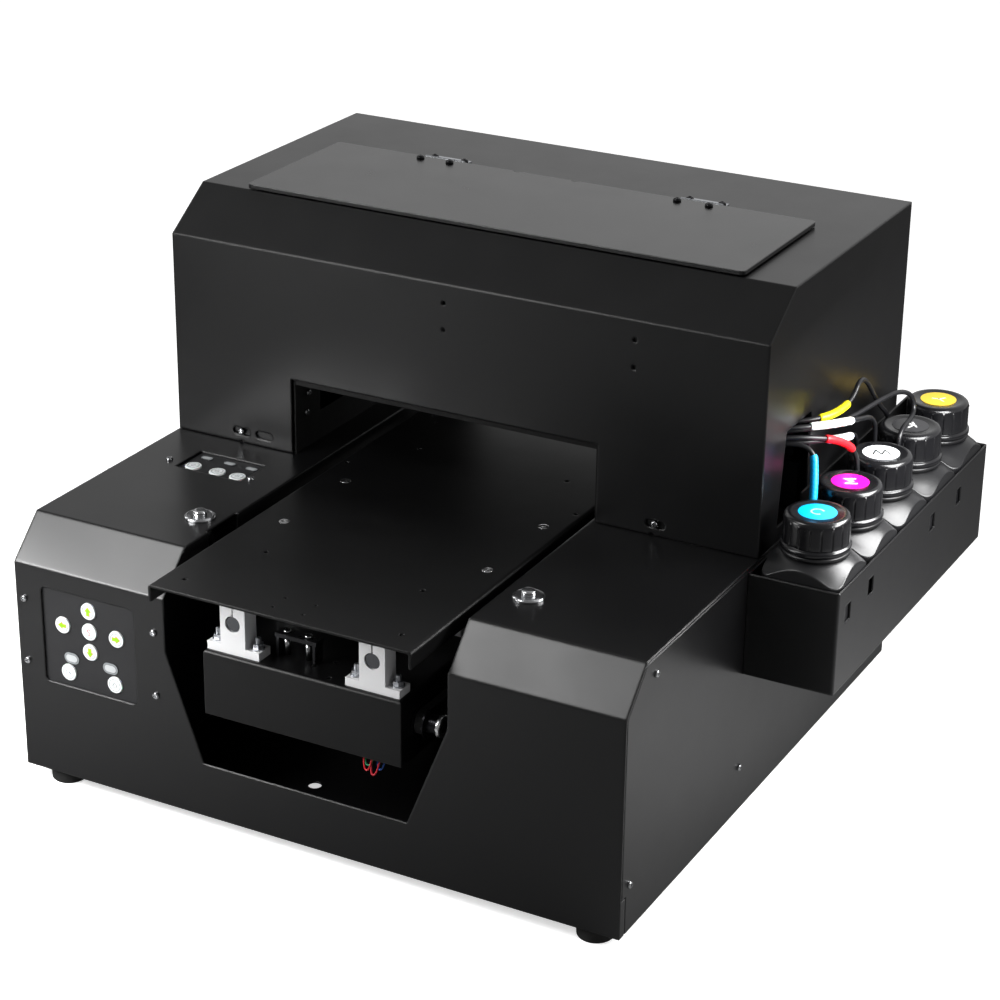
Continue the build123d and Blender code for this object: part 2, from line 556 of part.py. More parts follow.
with BuildPart() as table_idler_pulley:
    with Locations(*spots(side_plane(PULLEY_X), [IDLER_YZ])):
        add(belt_pulley(PULLEY_R, 10.5, 6.5, 2.0, 2.55))
table_idler_pulley.part.label = "table_idler_pulley"
export_step(table_idler_pulley.part, "parts/table_idler_pulley.step")

with BuildPart() as table_belt:
    belt_loop(side_plane(PULLEY_X + 1.2), (MOTOR_YZ[0], IDLER_YZ[0]), MOTOR_YZ[1], PULLEY_R, 6.0)
table_belt.part.label = "table_belt"
export_step(table_belt.part, "parts/table_belt.step")

# ---- the table and what hangs under it ----
TABLE_HOLES = [(154, -11), (323, -11), (177.5, 53), (302, 53), (154, 330), (323, 330), (177.5, 266), (302, 266),
               (143.5, 216), (334.5, 216)]
TABLE_SMALL_HOLES = [(228.5, -2), (252, -2), (228.5, -17.5), (252, -17.5), (161.5, 319)]
CLAMP_Y = (130.0, 150.0)

with BuildPart() as print_table:
    with BuildSketch(front_plane(TABLE_Y[1])) as table_face:
        with BuildLine():
            FilletPolyline((TABLE_X[0], TABLE_H - TABLE_FLANGE), (TABLE_X[0], TABLE_H), (TABLE_X[1], TABLE_H),
                           (TABLE_X[1], TABLE_H - TABLE_FLANGE), radius=BEND)
            offset(amount=2.0, side=Side.RIGHT)
        make_face()
    extrude(amount=TABLE_Y[1] - TABLE_Y[0])
    with Locations(*spots(top_plane(TABLE_H), TABLE_HOLES)):
        Cylinder(1.9, 8, mode=Mode.SUBTRACT)
    with Locations(*spots(top_plane(TABLE_H), TABLE_SMALL_HOLES)):
        Cylinder(1.1, 8, mode=Mode.SUBTRACT)
    with Locations(*[corner(x, y, TABLE_H) for x, y in TABLE_SCREWS]):
        CounterSinkHole(2.1, 4.1, 10)
    # tab bent down from the right flange to the belt's upper run
    belt_top = MOTOR_YZ[1] + PULLEY_R
    block((TABLE_X[1] - 2, TABLE_X[1]), CLAMP_Y, (belt_top + 3.2, TABLE_H - TABLE_FLANGE + 1))
    block((PULLEY_X + 1.2, TABLE_X[1]), CLAMP_Y, (belt_top + 1.2, belt_top + 4.2))
    block((PULLEY_X + 1.2, PULLEY_X + 12), CLAMP_Y, (belt_top - 4.2, belt_top - 1.2))
    block((PULLEY_X + 8, PULLEY_X + 12), CLAMP_Y, (belt_top - 4.2, belt_top + 4.2))
print_table.part.label = "print_table"
export_step(print_table.part, "parts/print_table.step")

BLOCK_Y = (103.0, 186.0)
BLOCK_Z = (ROD_Z - 14, ROD_Z + 16)

with BuildPart() as table_screw:
    # countersunk, its head just under z = 0
    with BuildSketch(Plane.XZ):
        with BuildLine():
            Polyline((0, -9), (1.9, -9), (1.9, -2.2), (3.9, -0.15), (0, -0.15), close=True)
        make_face()
    revolve(axis=Axis.Z)
    Box(3.4, 0.7, 2.0, mode=Mode.SUBTRACT)
    Box(0.7, 3.4, 2.0, mode=Mode.SUBTRACT)

with BuildPart() as bearing_blocks:
    # two linear bearing blocks on each rod and two cross bars that carry the table
    for x in ROD_X:
        for y in BLOCK_Y:
            block((x - 20, x + 20), (y - 18, y + 18), BLOCK_Z)
        rod("y", (x, BLOCK_Y[0] - 30, ROD_Z), 150, ROD_R + 0.06, Mode.SUBTRACT)
    for y in BLOCK_Y:
        block((152, 332), (y - 10, y + 10), (BLOCK_Z[1], TABLE_H - 2))
    with Locations(*[corner(x, y, TABLE_H - 4) for x, y in TABLE_SCREWS]):
        Cylinder(2.1, 14, mode=Mode.SUBTRACT)
    with Locations(*[corner(x, y, TABLE_H) for x, y in TABLE_SCREWS]):
        add(table_screw.part)
bearing_blocks.part.label = "bearing_blocks"
export_step(bearing_blocks.part, "parts/bearing_blocks.step")

# ---- lift drive ----
LIFT_MOTOR_TOP = 49.0
with BuildPart() as lift_motor:
    with Locations(corner(SCREW_X, SCREW_Y, LIFT_MOTOR_TOP)):
        add(stepper(42, LIFT_MOTOR_TOP - FLOOR_Z - SHEET, 4.5, 1.6))
    rod("z", (SCREW_X, SCREW_Y, LIFT_MOTOR_TOP - 10), 14, 4.06, Mode.SUBTRACT)
lift_motor.part.label = "lift_motor"
export_step(lift_motor.part, "parts/lift_motor.step")

with BuildPart() as lead_screw:
    rod("z", (SCREW_X, SCREW_Y, LIFT_MOTOR_TOP - 9.5), 110, 4.0)
    chamfer(lead_screw.edges().sort_by(Axis.Z)[-1], 0.8)
lead_screw.part.label = "lead_screw"
export_step(lead_screw.part, "parts/lead_screw.step")

# ---- print mechanism under the hood ----
FRAME_X = (102.5, 353.0)
SHAFT_Y, SHAFT_Z = 372.0, 288.0
HEAD_PULLEY_R = 6.5
BEAM_SPAN = (8.0, 474.0)                  # cross beam and guide shaft
HEAD_BELT_Z = 325.0
HEAD_BELT_X = (30.0, 455.0)
HEAD_BELT_Y = 391.0
MANIFOLD_X = 462.0
TUBE_STARTS = [(250, 268), (256, 271), (262, 266), (258, 278), (266, 273), (270, 279)]

with BuildPart() as print_frame:
    leg = [(208.5, BASE_H), (440, BASE_H), (440, 340), (400, 340), (400, 226), (243, 226), (243, 300), (208.5, 300)]
    for x in FRAME_X:
        extrude(outline(side_plane(x), leg), amount=SHEET)
    block((FRAME_X[0], FRAME_X[1] + SHEET), (209, 210.5), (257.8, 300))
    block(BEAM_SPAN, (400, 402), (262, 348))
    block(BEAM_SPAN, (400, 414), (346.5, 348))
    for x in (BEAM_SPAN[0], BEAM_SPAN[1] - 2):
        block((x, x + 2), (364, 402), (278, 298))
        rod("x", (x - 1, SHAFT_Y, SHAFT_Z), 4, 5.0, Mode.SUBTRACT)
    rod("y", (HEAD_BELT_X[1], 398, HEAD_BELT_Z), 6, 11.2, Mode.SUBTRACT)
    with Locations(*spots(side_plane(FRAME_X[0]), BRACKET_SCREWS)):
        Cylinder(SCREW_CLEAR, 8, mode=Mode.SUBTRACT)
    # feet of the two legs on the deck
    block((86, FRAME_X[0] + 1), (208.5, 440), (BASE_H, BASE_H + SHEET))
    block((FRAME_X[1], 372), (208.5, 440), (BASE_H, BASE_H + SHEET))
    # free-running belt wheel and its post at the left end
    rod("y", (HEAD_BELT_X[0], HEAD_BELT_Y - 1, HEAD_BELT_Z), 9.5, 2.5)
    rod("y", (HEAD_BELT_X[0], HEAD_BELT_Y - 1, HEAD_BELT_Z), 1, 8.0)
    rod("y", (HEAD_BELT_X[0], HEAD_BELT_Y, HEAD_BELT_Z), 6.4, HEAD_PULLEY_R - 0.9)
    # tube manifold on its post behind the mouth in the hood's side
    block((448, MANIFOLD_X), (244, 276), (260, 285))
    block((450, 460), (262, 276), (BASE_H, 262))
    block((440, 474), (258, 292), (BASE_H, BASE_H + SHEET))
print_frame.part.label = "print_frame"
export_step(print_frame.part, "parts/print_frame.step")

with BuildPart() as guide_shafts:
    rod("x", (BEAM_SPAN[0], SHAFT_Y, SHAFT_Z), BEAM_SPAN[1] - BEAM_SPAN[0], 4.95)
    for x in COLUMN_X:
        rod("z", (x, COLUMN_Y, FLOOR_Z + SHEET), COLUMN_H, ROD_R)
        rod("z", (x, COLUMN_Y, FLOOR_Z + SHEET), 8, 14)
guide_shafts.part.label = "guide_shafts"
export_step(guide_shafts.part, "parts/guide_shafts.step")

with BuildPart() as carriage_motor:
    with Locations(*spots(front_plane(402), [(HEAD_BELT_X[1], HEAD_BELT_Z)])):
        add(stepper(38, 34, 2.5, 12))
carriage_motor.part.label = "carriage_motor"
export_step(carriage_motor.part, "parts/carriage_motor.step")

with BuildPart() as carriage_drive_pulley:
    with Locations(*spots(front_plane(HEAD_BELT_Y + 7.6), [(HEAD_BELT_X[1], HEAD_BELT_Z)])):
        add(belt_pulley(HEAD_PULLEY_R, 8.5, 5.5, 1.0, 2.55))
carriage_drive_pulley.part.label = "carriage_drive_pulley"
export_step(carriage_drive_pulley.part, "parts/carriage_drive_pulley.step")

with BuildPart() as carriage_belt:
    belt_loop(front_plane(HEAD_BELT_Y + 6.2), HEAD_BELT_X, HEAD_BELT_Z, HEAD_PULLEY_R, 6.0)
carriage_belt.part.label = "carriage_belt"
export_step(carriage_belt.part, "parts/carriage_belt.step")

# ---- carriage, print head and curing lamp, parked at the right ----
CARRIAGE_X = (402.0, 470.0)
CARRIAGE_Y = (300.0, 387.0)
CARRIAGE_Z = (262.0, 318.0)
with BuildPart() as print_carriage:
    block(CARRIAGE_X, CARRIAGE_Y, CARRIAGE_Z)
    fillet(print_carriage.edges().filter_by(Axis.Z), 3)
    block((CARRIAGE_X[0] + 3, CARRIAGE_X[1] - 3), (CARRIAGE_Y[0] + 3, 362), (CARRIAGE_Z[0] + 4, CARRIAGE_Z[1] + 1),
          Mode.SUBTRACT)
    # four ink dampers stand in the holder
    for x in (406.5, 421.5, 436.5, 451.5):
        block((x, x + 13), (308, 356), (CARRIAGE_Z[0] + 3, CARRIAGE_Z[1] + 6))
    rod("x", (CARRIAGE_X[0] - 1, SHAFT_Y, SHAFT_Z), 70, 5.0, Mode.SUBTRACT)
    # clamp on the belt's lower run, a jaw above it and one below
    run = HEAD_BELT_Z - HEAD_PULLEY_R
    block((425, 445), (380, 397), (run - 4.2, run - 1.1))
    block((425, 445), (380, 397), (run + 1.1, run + 3.4))
    block((425, 445), (380, 390.5), (run - 4.2, run + 3.4))
print_carriage.part.label = "print_carriage"
export_step(print_carriage.part, "parts/print_carriage.step")

with BuildPart() as print_head:
    block((412, 460), (312, 352), (257.5, CARRIAGE_Z[0]))
    block((418, 454), (322, 342), (256.5, 258))
print_head.part.label = "print_head"
export_step(print_head.part, "parts/print_head.step")

with BuildPart() as uv_lamp:
    # finned block over the lamp window
    block((360, CARRIAGE_X[0]), (308, 352), (258, 272))
    for y in range(309, 352, 7):
        block((361, CARRIAGE_X[0] - 1), (y, y + 3), (272, 296))
    block((365, 397), (318, 342), (257, 258))
uv_lamp.part.label = "uv_lamp"
export_step(uv_lamp.part, "parts/uv_lamp.step")

with BuildPart() as capping_station:
    # tray under the parked head with a rubber cap, a wiper blade and a drain
    block((408, 468), (300, 356), (BASE_H, 238))
    block((411, 465), (303, 353), (236, 240), Mode.SUBTRACT)
    block((414, 458), (316, 348), (236, 254))
    block((418, 454), (320, 344), (250, 255), Mode.SUBTRACT)
    block((409, 411), (306, 350), (238, 254.5))
capping_station.part.label = "capping_station"
export_step(capping_station.part, "parts/capping_station.step")

# ---- electronics in the base ----
BOARD_Z = FLOOR_Z + SHEET + 8
with BuildPart() as main_board:
    block((14, 112), (250, 400), (BOARD_Z, BOARD_Z + 1.6))
    with Locations(*[corner(x, y, FLOOR_Z + SHEET) for x in (19, 107) for y in (256, 394)]):
        Cylinder(3, 8, align=(Align.CENTER, Align.CENTER, Align.MIN))
    chips = [((40, 64), (300, 324), 3), ((74, 90), (290, 306), 2.5), ((30, 44), (350, 372), 2.5),
             ((18, 40), (385, 397), 9), ((50, 80), (385, 397), 9), ((92, 108), (340, 372), 12),
             ((18, 30), (262, 290), 10), ((60, 100), (254, 262), 8)]
    for x, y, height in chips:
        block(x, y, (BOARD_Z + 1.6, BOARD_Z + 1.6 + height))
    with Locations(*[corner(84 + 9 * i, 330, BOARD_Z + 1.6) for i in range(3)]):
        Cylinder(4, 12, align=(Align.CENTER, Align.CENTER, Align.MIN))
main_board.part.label = "main_board"
export_step(main_board.part, "parts/main_board.step")

with BuildPart() as power_supply:
    # vented case against the rear wall, its mains inlet through the cut-out
    block((366, 470), (330, BASE_D - SHEET - 1.2), (FLOOR_Z + SHEET, 76))
    block((INLET[0] + 0.4, INLET[1] - 0.4), (BASE_D - 4, BASE_D + 2), (INLET[2] + 0.4, INLET[3] - 0.4))
    block((INLET[0] + 9, INLET[1] - 9), (BASE_D - 14, BASE_D + 5), (INLET[2] + 6, INLET[3] - 6), Mode.SUBTRACT)
    for x in (404, 409, 414):
        block((x - 1, x + 1), (BASE_D - 15, BASE_D - 2), (46, 50))
    with Locations(*spots(top_plane(76), [(x, y) for x in range(380, 461, 10) for y in (360, 400, 440)])):
        Box(4, 26, 3, mode=Mode.SUBTRACT)
power_supply.part.label = "power_supply"
export_step(power_supply.part, "parts/power_supply.step")

# ---- ink station ----
TRAY_SHEET = 1.2
TRAY_X = (BASE_W, BASE_W + TRAY_W)
TRAY_BACK = (277.0, 226.5)                # where the tall back starts, and its top
TRAY_WINDOWS = [(206, 179), (249, 181), (373.5, 181), (431, 180)]
BOTTLE_X = 515.8
BOTTLE_Y = [TRAY_Y[0] + TRAY_SHEET + 0.4 + BOTTLE_W / 2 + BOTTLE_PITCH * i for i in range(5)]

with BuildPart() as ink_tray:
    block(TRAY_X, TRAY_Y, TRAY_Z)
    fillet(ink_tray.edges().filter_by(Axis.Z).group_by(Axis.X)[-1], 1.6)
    block((TRAY_X[0] + TRAY_SHEET, TRAY_X[1] - TRAY_SHEET), (TRAY_Y[0] + TRAY_SHEET, TRAY_Y[1] - TRAY_SHEET),
          (TRAY_Z[0] + TRAY_SHEET, TRAY_Z[1] + 1), Mode.SUBTRACT)
    block((TRAY_X[0], TRAY_X[0] + TRAY_SHEET), (TRAY_BACK[0], TRAY_Y[1]), (TRAY_Z[1] - 2, TRAY_BACK[1]))
    # ear bent out beside the rear bottle
    block((TRAY_X[0], TRAY_X[0] + 14), (TRAY_Y[1] - TRAY_SHEET, TRAY_Y[1]), (TRAY_Z[1] - 2, TRAY_BACK[1]))
    with Locations(*spots(side_plane(TRAY_X[1]), TRAY_WINDOWS)):
        Box(10, 13, 6, mode=Mode.SUBTRACT)
    with Locations(*spots(top_plane(TRAY_Z[0]), TRAY_SCREWS)):
        Cylinder(SCREW_CLEAR, 6, mode=Mode.SUBTRACT)
    with Locations(*spots(front_plane(TRAY_Y[1]), [(TRAY_X[0] + 10, 221)])):
        Cylinder(SCREW_CLEAR, 6, mode=Mode.SUBTRACT)
ink_tray.part.label = "ink_tray"
export_step(ink_tray.part, "parts/ink_tray.step")

SHOULDER_Z, NECK_Z = 202.0, 213.0
with BuildPart() as bottle:
    # square body, rounded shoulder, neck with its collar; z as on the printer
    body_z = TRAY_Z[0] + TRAY_SHEET
    with BuildSketch(Plane.XY.offset(body_z)):
        RectangleRounded(BOTTLE_W, BOTTLE_W, 9)
    extrude(amount=SHOULDER_Z - body_z)
    with BuildSketch(Plane.XY.offset(SHOULDER_Z)):
        RectangleRounded(BOTTLE_W, BOTTLE_W, 9)
    with BuildSketch(Plane.XY.offset(SHOULDER_Z + 5)):
        RectangleRounded(BOTTLE_W - 3, BOTTLE_W - 3, 10)
    with BuildSketch(Plane.XY.offset(NECK_Z)):
        RectangleRounded(42, 42, 20)
    loft()
    fillet(bottle.edges().group_by(Axis.Z)[0], 2)
    for low, high, r in ((NECK_Z - 1, 216, 20.4), (NECK_Z + 1.2, NECK_Z + 3.6, CAP_R + 0.6), (216, 238, 18.6)):
        with Locations((0, 0, low)):
            Cylinder(r, high - low, align=(Align.CENTER, Align.CENTER, Align.MIN))

with BuildPart() as ink_bottles:
    with Locations(*[corner(BOTTLE_X, y, 0) for y in BOTTLE_Y]):
        add(bottle.part)
ink_bottles.part.label = "ink_bottles"
export_step(ink_bottles.part, "parts/ink_bottles.step")

CAP_FOOT = NECK_Z + 4.2
with BuildPart() as bottle_cap:
    with Locations((0, 0, CAP_FOOT)):
        Cylinder(CAP_R, CAP_TOP - CAP_FOOT, align=(Align.CENTER, Align.CENTER, Align.MIN))
    fillet(bottle_cap.edges().sort_by(Axis.Z)[-1], 1.6)
    with PolarLocations(CAP_R + 0.35, 32):
        with Locations((0, 0, (CAP_FOOT + CAP_TOP) / 2 + 0.5)):
            Cylinder(0.9, CAP_TOP - CAP_FOOT - 9, mode=Mode.SUBTRACT)
    with Locations((0, 0, CAP_FOOT)):
        Cylinder(CAP_R + 0.8, 3.2, align=(Align.CENTER, Align.CENTER, Align.MIN))
    with Locations((0, 0, CAP_FOOT - 1)):
        Cylinder(19.0, 239 - CAP_FOOT + 1, align=(Align.CENTER, Align.CENTER, Align.MIN), mode=Mode.SUBTRACT)

for name, y in zip(("cyan_cap", "magenta_cap", "white_cap", "black_cap", "yellow_cap"), BOTTLE_Y):
    with BuildPart() as cap_here:
        with Locations(corner(BOTTLE_X, y, 0)):
            add(bottle_cap.part)
    cap_here.part.label = name
    export_step(cap_here.part, f"parts/{name}.step")

# Routes of the ink tubes from the manifold, out of the hood's side, to the bottles' shoulders
TUBE_ROUTES = {
    "ink_tube_cyan": [(462, 250, 268), (493, 263, 276), (500, 252, 246), (501, 246, 222), (501, 243, 203)],
    "ink_tube_magenta": [(462, 256, 271), (488, 267, 275), (507, 309, 258), (511, 309, 232), (511, 305, 205)],
    "ink_tube_white_a": [(462, 262, 266), (488, 270, 269), (500, 312, 260), (491, 354, 247), (490, 362, 222),
                         (492, 361, 203)],
    "ink_tube_white_b": [(462, 258, 278), (489, 268, 281), (503, 318, 272), (501, 361, 260), (500, 371, 237),
                         (500, 367, 203)],
    "ink_tube_black": [(462, 266, 273), (489, 277, 276), (497, 325, 270), (503, 366, 271), (509, 390, 271),
                       (513, 407, 263), (515, 409, 251), (516.5, 396, 247.5), (517, 377, 247.5),
                       (517, 371, 236), (517, 374, 204)],
    "ink_tube_yellow": [(462, 270, 279), (489, 281, 281), (500, 318, 289), (497, 345, 297), (494, 388, 262),
                        (491, 424, 236), (493, 436, 203)],
}


def arc_radii(points):
    """0.45 of the shorter run over the tangent of half the turn, for each corner."""
    radii = []
    for before, here, after in zip(points, points[1:], points[2:]):
        first, second = Vector(here) - Vector(before), Vector(after) - Vector(here)
        turn = math.radians(first.get_angle(second))
        radii.append(0.45 * min(first.length, second.length) / math.tan(turn / 2))
    return radii


for name, route in TUBE_ROUTES.items():
    places = [corner(*point) for point in route]
    radii = arc_radii(places)
    with BuildPart() as ink_tube:
        with BuildLine() as path:
            FilletPolyline(*places, radius=radii)
        with BuildSketch(Plane(origin=path.line @ 0, z_dir=path.line % 0)):
            Circle(TUBE_D / 2)
        sweep()
    ink_tube.part.label = name
    export_step(ink_tube.part, f"parts/{name}.step")
    share = ink_tube.part.volume / (math.pi * TUBE_D ** 2 / 4 * path.wires()[0].length)
    print(name, "length", round(path.wires()[0].length, 1), "volume over section x length", round(share, 4),
          "radii", [round(r, 1) for r in radii])

# ---- screws of the casings ----
case_screw = pan_screw(shank=5)
with BuildPart() as case_screws:
    with Locations(*spots(front_plane(0), FRONT_SCREWS)):
        add(case_screw)
    with Locations(*spots(top_plane(BASE_H), DECK_SCREWS)):
        add(case_screw)
    with Locations(*spots(side_plane(BASE_W), SIDE_SCREWS)):
        add(case_screw)
    left_plane = Plane(origin=corner(0, 0, 0), x_dir=(0, -1, 0), z_dir=(-1, 0, 0))
    with Locations(*spots(left_plane, [(-y, z) for y, z in SIDE_SCREWS])):
        add(case_screw)
    with Locations(*spots(left_plane, [(-119, 197)])):
        add(pan_screw(head_r=4.2, head_h=SIDE_KNOB, shank_r=2.0, shank=6))
    with Locations(*spots(front_plane(HOOD_Y0), hood_screw_spots)):
        add(case_screw)
    with Locations(*spots(top_plane(HOOD_H + LEAF), LEAF_SCREWS)):
        add(case_screw)
    with Locations(*spots(side_plane(FRAME_X[0] + SHEET), BRACKET_SCREWS)):
        add(pan_screw(shank=4))
    with Locations(*[Location(corner(x, y, TRAY_Z[0]), (180, 0, 0)) for x, y in TRAY_SCREWS]):
        add(pan_screw(shank=1.1))
    with Locations(*spots(front_plane(TRAY_Y[1] - TRAY_SHEET), [(TRAY_X[0] + 10, 221)])):
        add(pan_screw(shank=1.1))
case_screws.part.label = "case_screws"
export_step(case_screws.part, "parts/case_screws.step")
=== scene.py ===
import math

import bmesh
import bpy
from mathutils import Matrix, Vector


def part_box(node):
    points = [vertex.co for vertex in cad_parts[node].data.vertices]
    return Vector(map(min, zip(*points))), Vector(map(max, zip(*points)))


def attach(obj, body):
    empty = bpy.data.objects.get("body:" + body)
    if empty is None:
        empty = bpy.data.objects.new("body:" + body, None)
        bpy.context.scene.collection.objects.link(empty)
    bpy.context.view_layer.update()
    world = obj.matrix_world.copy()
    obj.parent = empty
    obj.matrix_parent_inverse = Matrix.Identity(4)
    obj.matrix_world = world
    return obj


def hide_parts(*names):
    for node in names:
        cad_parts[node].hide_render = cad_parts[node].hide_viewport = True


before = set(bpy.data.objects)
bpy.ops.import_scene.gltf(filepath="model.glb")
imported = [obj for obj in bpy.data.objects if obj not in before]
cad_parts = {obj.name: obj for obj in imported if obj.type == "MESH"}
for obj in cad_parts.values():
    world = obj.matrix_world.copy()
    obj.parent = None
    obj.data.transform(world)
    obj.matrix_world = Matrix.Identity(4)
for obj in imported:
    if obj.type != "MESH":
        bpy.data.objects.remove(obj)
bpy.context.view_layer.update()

# ---- Camera and studio ----
# A long lens stands to the right of the printer's front and looks down on it. A soft box hangs
# over the front left, a strip lights the left side and two small lamps light the floor beside
# it. The floor is white paper, and the wall behind the printer is bright.
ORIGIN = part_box("base_cover")[0]


def at(x, y, z):
    """Millimetres from the casing's left front edge and the floor, as a point in the frame."""
    return Vector((ORIGIN.x + x / 1000, ORIGIN.y + y / 1000, z / 1000))


def keep(obj):
    bpy.context.scene.collection.objects.link(obj)
    return obj


CAMERA_PLACE = (0.8276, -1.5677, 0.9707)
camera_turn, camera_tilt, camera_roll = (math.radians(v) for v in (28.0, 23.7, 0.737))
lens_right = Vector((math.cos(camera_turn), math.sin(camera_turn), 0))
lens_back = Vector((math.sin(camera_turn) * math.cos(camera_tilt),
                    -math.cos(camera_turn) * math.cos(camera_tilt), math.sin(camera_tilt)))
lens_up = lens_back.cross(lens_right)
roll_cos, roll_sin = math.cos(camera_roll), math.sin(camera_roll)
camera = keep(bpy.data.objects.new("camera", bpy.data.cameras.new("camera")))
camera.data.lens, camera.data.sensor_width = 95.48, 36.0
camera.data.clip_end = 30
camera.matrix_world = Matrix((lens_right * roll_cos + lens_up * roll_sin,
                              lens_up * roll_cos - lens_right * roll_sin, lens_back)).transposed().to_4x4()
camera.matrix_world.translation = CAMERA_PLACE
bpy.context.scene.camera = camera
bpy.context.scene.view_settings.view_transform = "Standard"


def linear(hex_code):
    """An sRGB hex colour as the linear colour that the shader takes."""
    parts = [int(hex_code[i:i + 2], 16) / 255 for i in (0, 2, 4)]
    return tuple(v / 12.92 if v <= 0.04045 else ((v + 0.055) / 1.055) ** 2.4 for v in parts) + (1.0,)


def add_node(tree, kind, inputs=None, **settings):
    """A node with its settings; inputs maps a socket to a value or to the socket it is fed from."""
    node = tree.nodes.new(kind)
    for name, value in settings.items():
        setattr(node, name, value)
    for key, value in (inputs or {}).items():
        socket = node.inputs[key]
        if isinstance(value, bpy.types.NodeSocket):
            tree.links.new(value, socket)
        else:
            socket.default_value = value
    return node


def soft_box(name, place, target, width, height, power):
    light = bpy.data.lights.new(name, "AREA")
    light.shape, light.size, light.size_y, light.energy = "RECTANGLE", width, height, power
    lamp = keep(bpy.data.objects.new(name, light))
    lamp.location = place
    lamp.visible_camera = False
    lamp.rotation_euler = (Vector(target) - Vector(place)).to_track_quat("-Z", "Y").to_euler()


soft_box("overhead_box", (-1.52, -1.52, 2.53), (-0.1, -0.1, 0.15), 1.2, 0.9, 40)
soft_box("left_strip", (-2.2, 0.2, 1.0), (0, 0, 0.15), 0.5, 1.6, 6)
soft_box("right_floor_light", (0.47, 0.03, 0.32), (0.43, 0.05, 0.0), 0.15, 0.35, 4.6)
soft_box("front_floor_light", (-0.40, -0.50, 0.34), (-0.36, -0.45, 0.0), 0.3, 0.2, 5.0)

# the wall behind the printer is bright, the side that faces its front is dim
WALL_DIM, WALL_BRIGHT = 0.20, 0.78
world = bpy.data.worlds.new("studio")
world.use_nodes = True
walls = world.node_tree
towards = add_node(walls, "ShaderNodeTexCoord").outputs["Generated"]
direction = add_node(walls, "ShaderNodeSeparateXYZ", {0: towards})
rearward = add_node(walls, "ShaderNodeMath", {0: direction.outputs["X"], 1: 0.5, 2: direction.outputs["Y"]},
                    operation="MULTIPLY_ADD")
rear_wall = add_node(walls, "ShaderNodeMapRange", {"Value": rearward.outputs[0], "From Min": 0.0, "From Max": 0.75,
                                                  "To Min": WALL_DIM, "To Max": WALL_BRIGHT},
                     interpolation_type="SMOOTHSTEP")
seen = add_node(walls, "ShaderNodeLightPath").outputs["Is Camera Ray"]
wall_level = add_node(walls, "ShaderNodeMath", {0: rear_wall.outputs["Result"], 1: seen}, operation="MAXIMUM")
walls.links.new(wall_level.outputs[0], walls.nodes["Background"].inputs["Strength"])
walls.nodes["Background"].inputs["Color"].default_value = linear("ffffff")
bpy.context.scene.world = world

# white paper, seen brighter than it lights the printer's front
floor_paper = bpy.data.materials.new("floor_paper")
floor_paper.use_nodes = True
paper = floor_paper.node_tree
paper_shader = paper.nodes["Principled BSDF"]
paper_shader.inputs["Roughness"].default_value = 0.9
paper_shader.inputs["Specular IOR Level"].default_value = 0.0
paper_shader.inputs["Emission Color"].default_value = linear("ffffff")
paper_seen = add_node(paper, "ShaderNodeLightPath").outputs["Is Camera Ray"]
paper_tone = add_node(paper, "ShaderNodeMix", {0: paper_seen, 6: (0.22, 0.22, 0.22, 1), 7: (0.93, 0.93, 0.93, 1)},
                      data_type="RGBA")
paper.links.new(paper_tone.outputs[2], paper_shader.inputs["Base Color"])
paper_glow = add_node(paper, "ShaderNodeMath", {0: paper_seen, 1: 0.6}, operation="MULTIPLY")
paper.links.new(paper_glow.outputs[0], paper_shader.inputs["Emission Strength"])
FLOOR = 9
floor_mesh = bpy.data.meshes.new("studio_floor")
floor_mesh.from_pydata([(-FLOOR, -FLOOR, 0), (FLOOR, -FLOOR, 0), (FLOOR, FLOOR, 0), (-FLOOR, FLOOR, 0)], [],
                       [(0, 1, 2, 3)])
floor_mesh.materials.append(floor_paper)
keep(bpy.data.objects.new("studio_floor", floor_mesh))

# ---- Ink tubes ----
# Six black polyurethane tubes, 3.6 mm across, run from the manifold behind the hood's side
# through its mouth and drop behind the caps into the bottles' shoulders. They are extruded,
# so they have a soft sheen and faint marks along their skin.


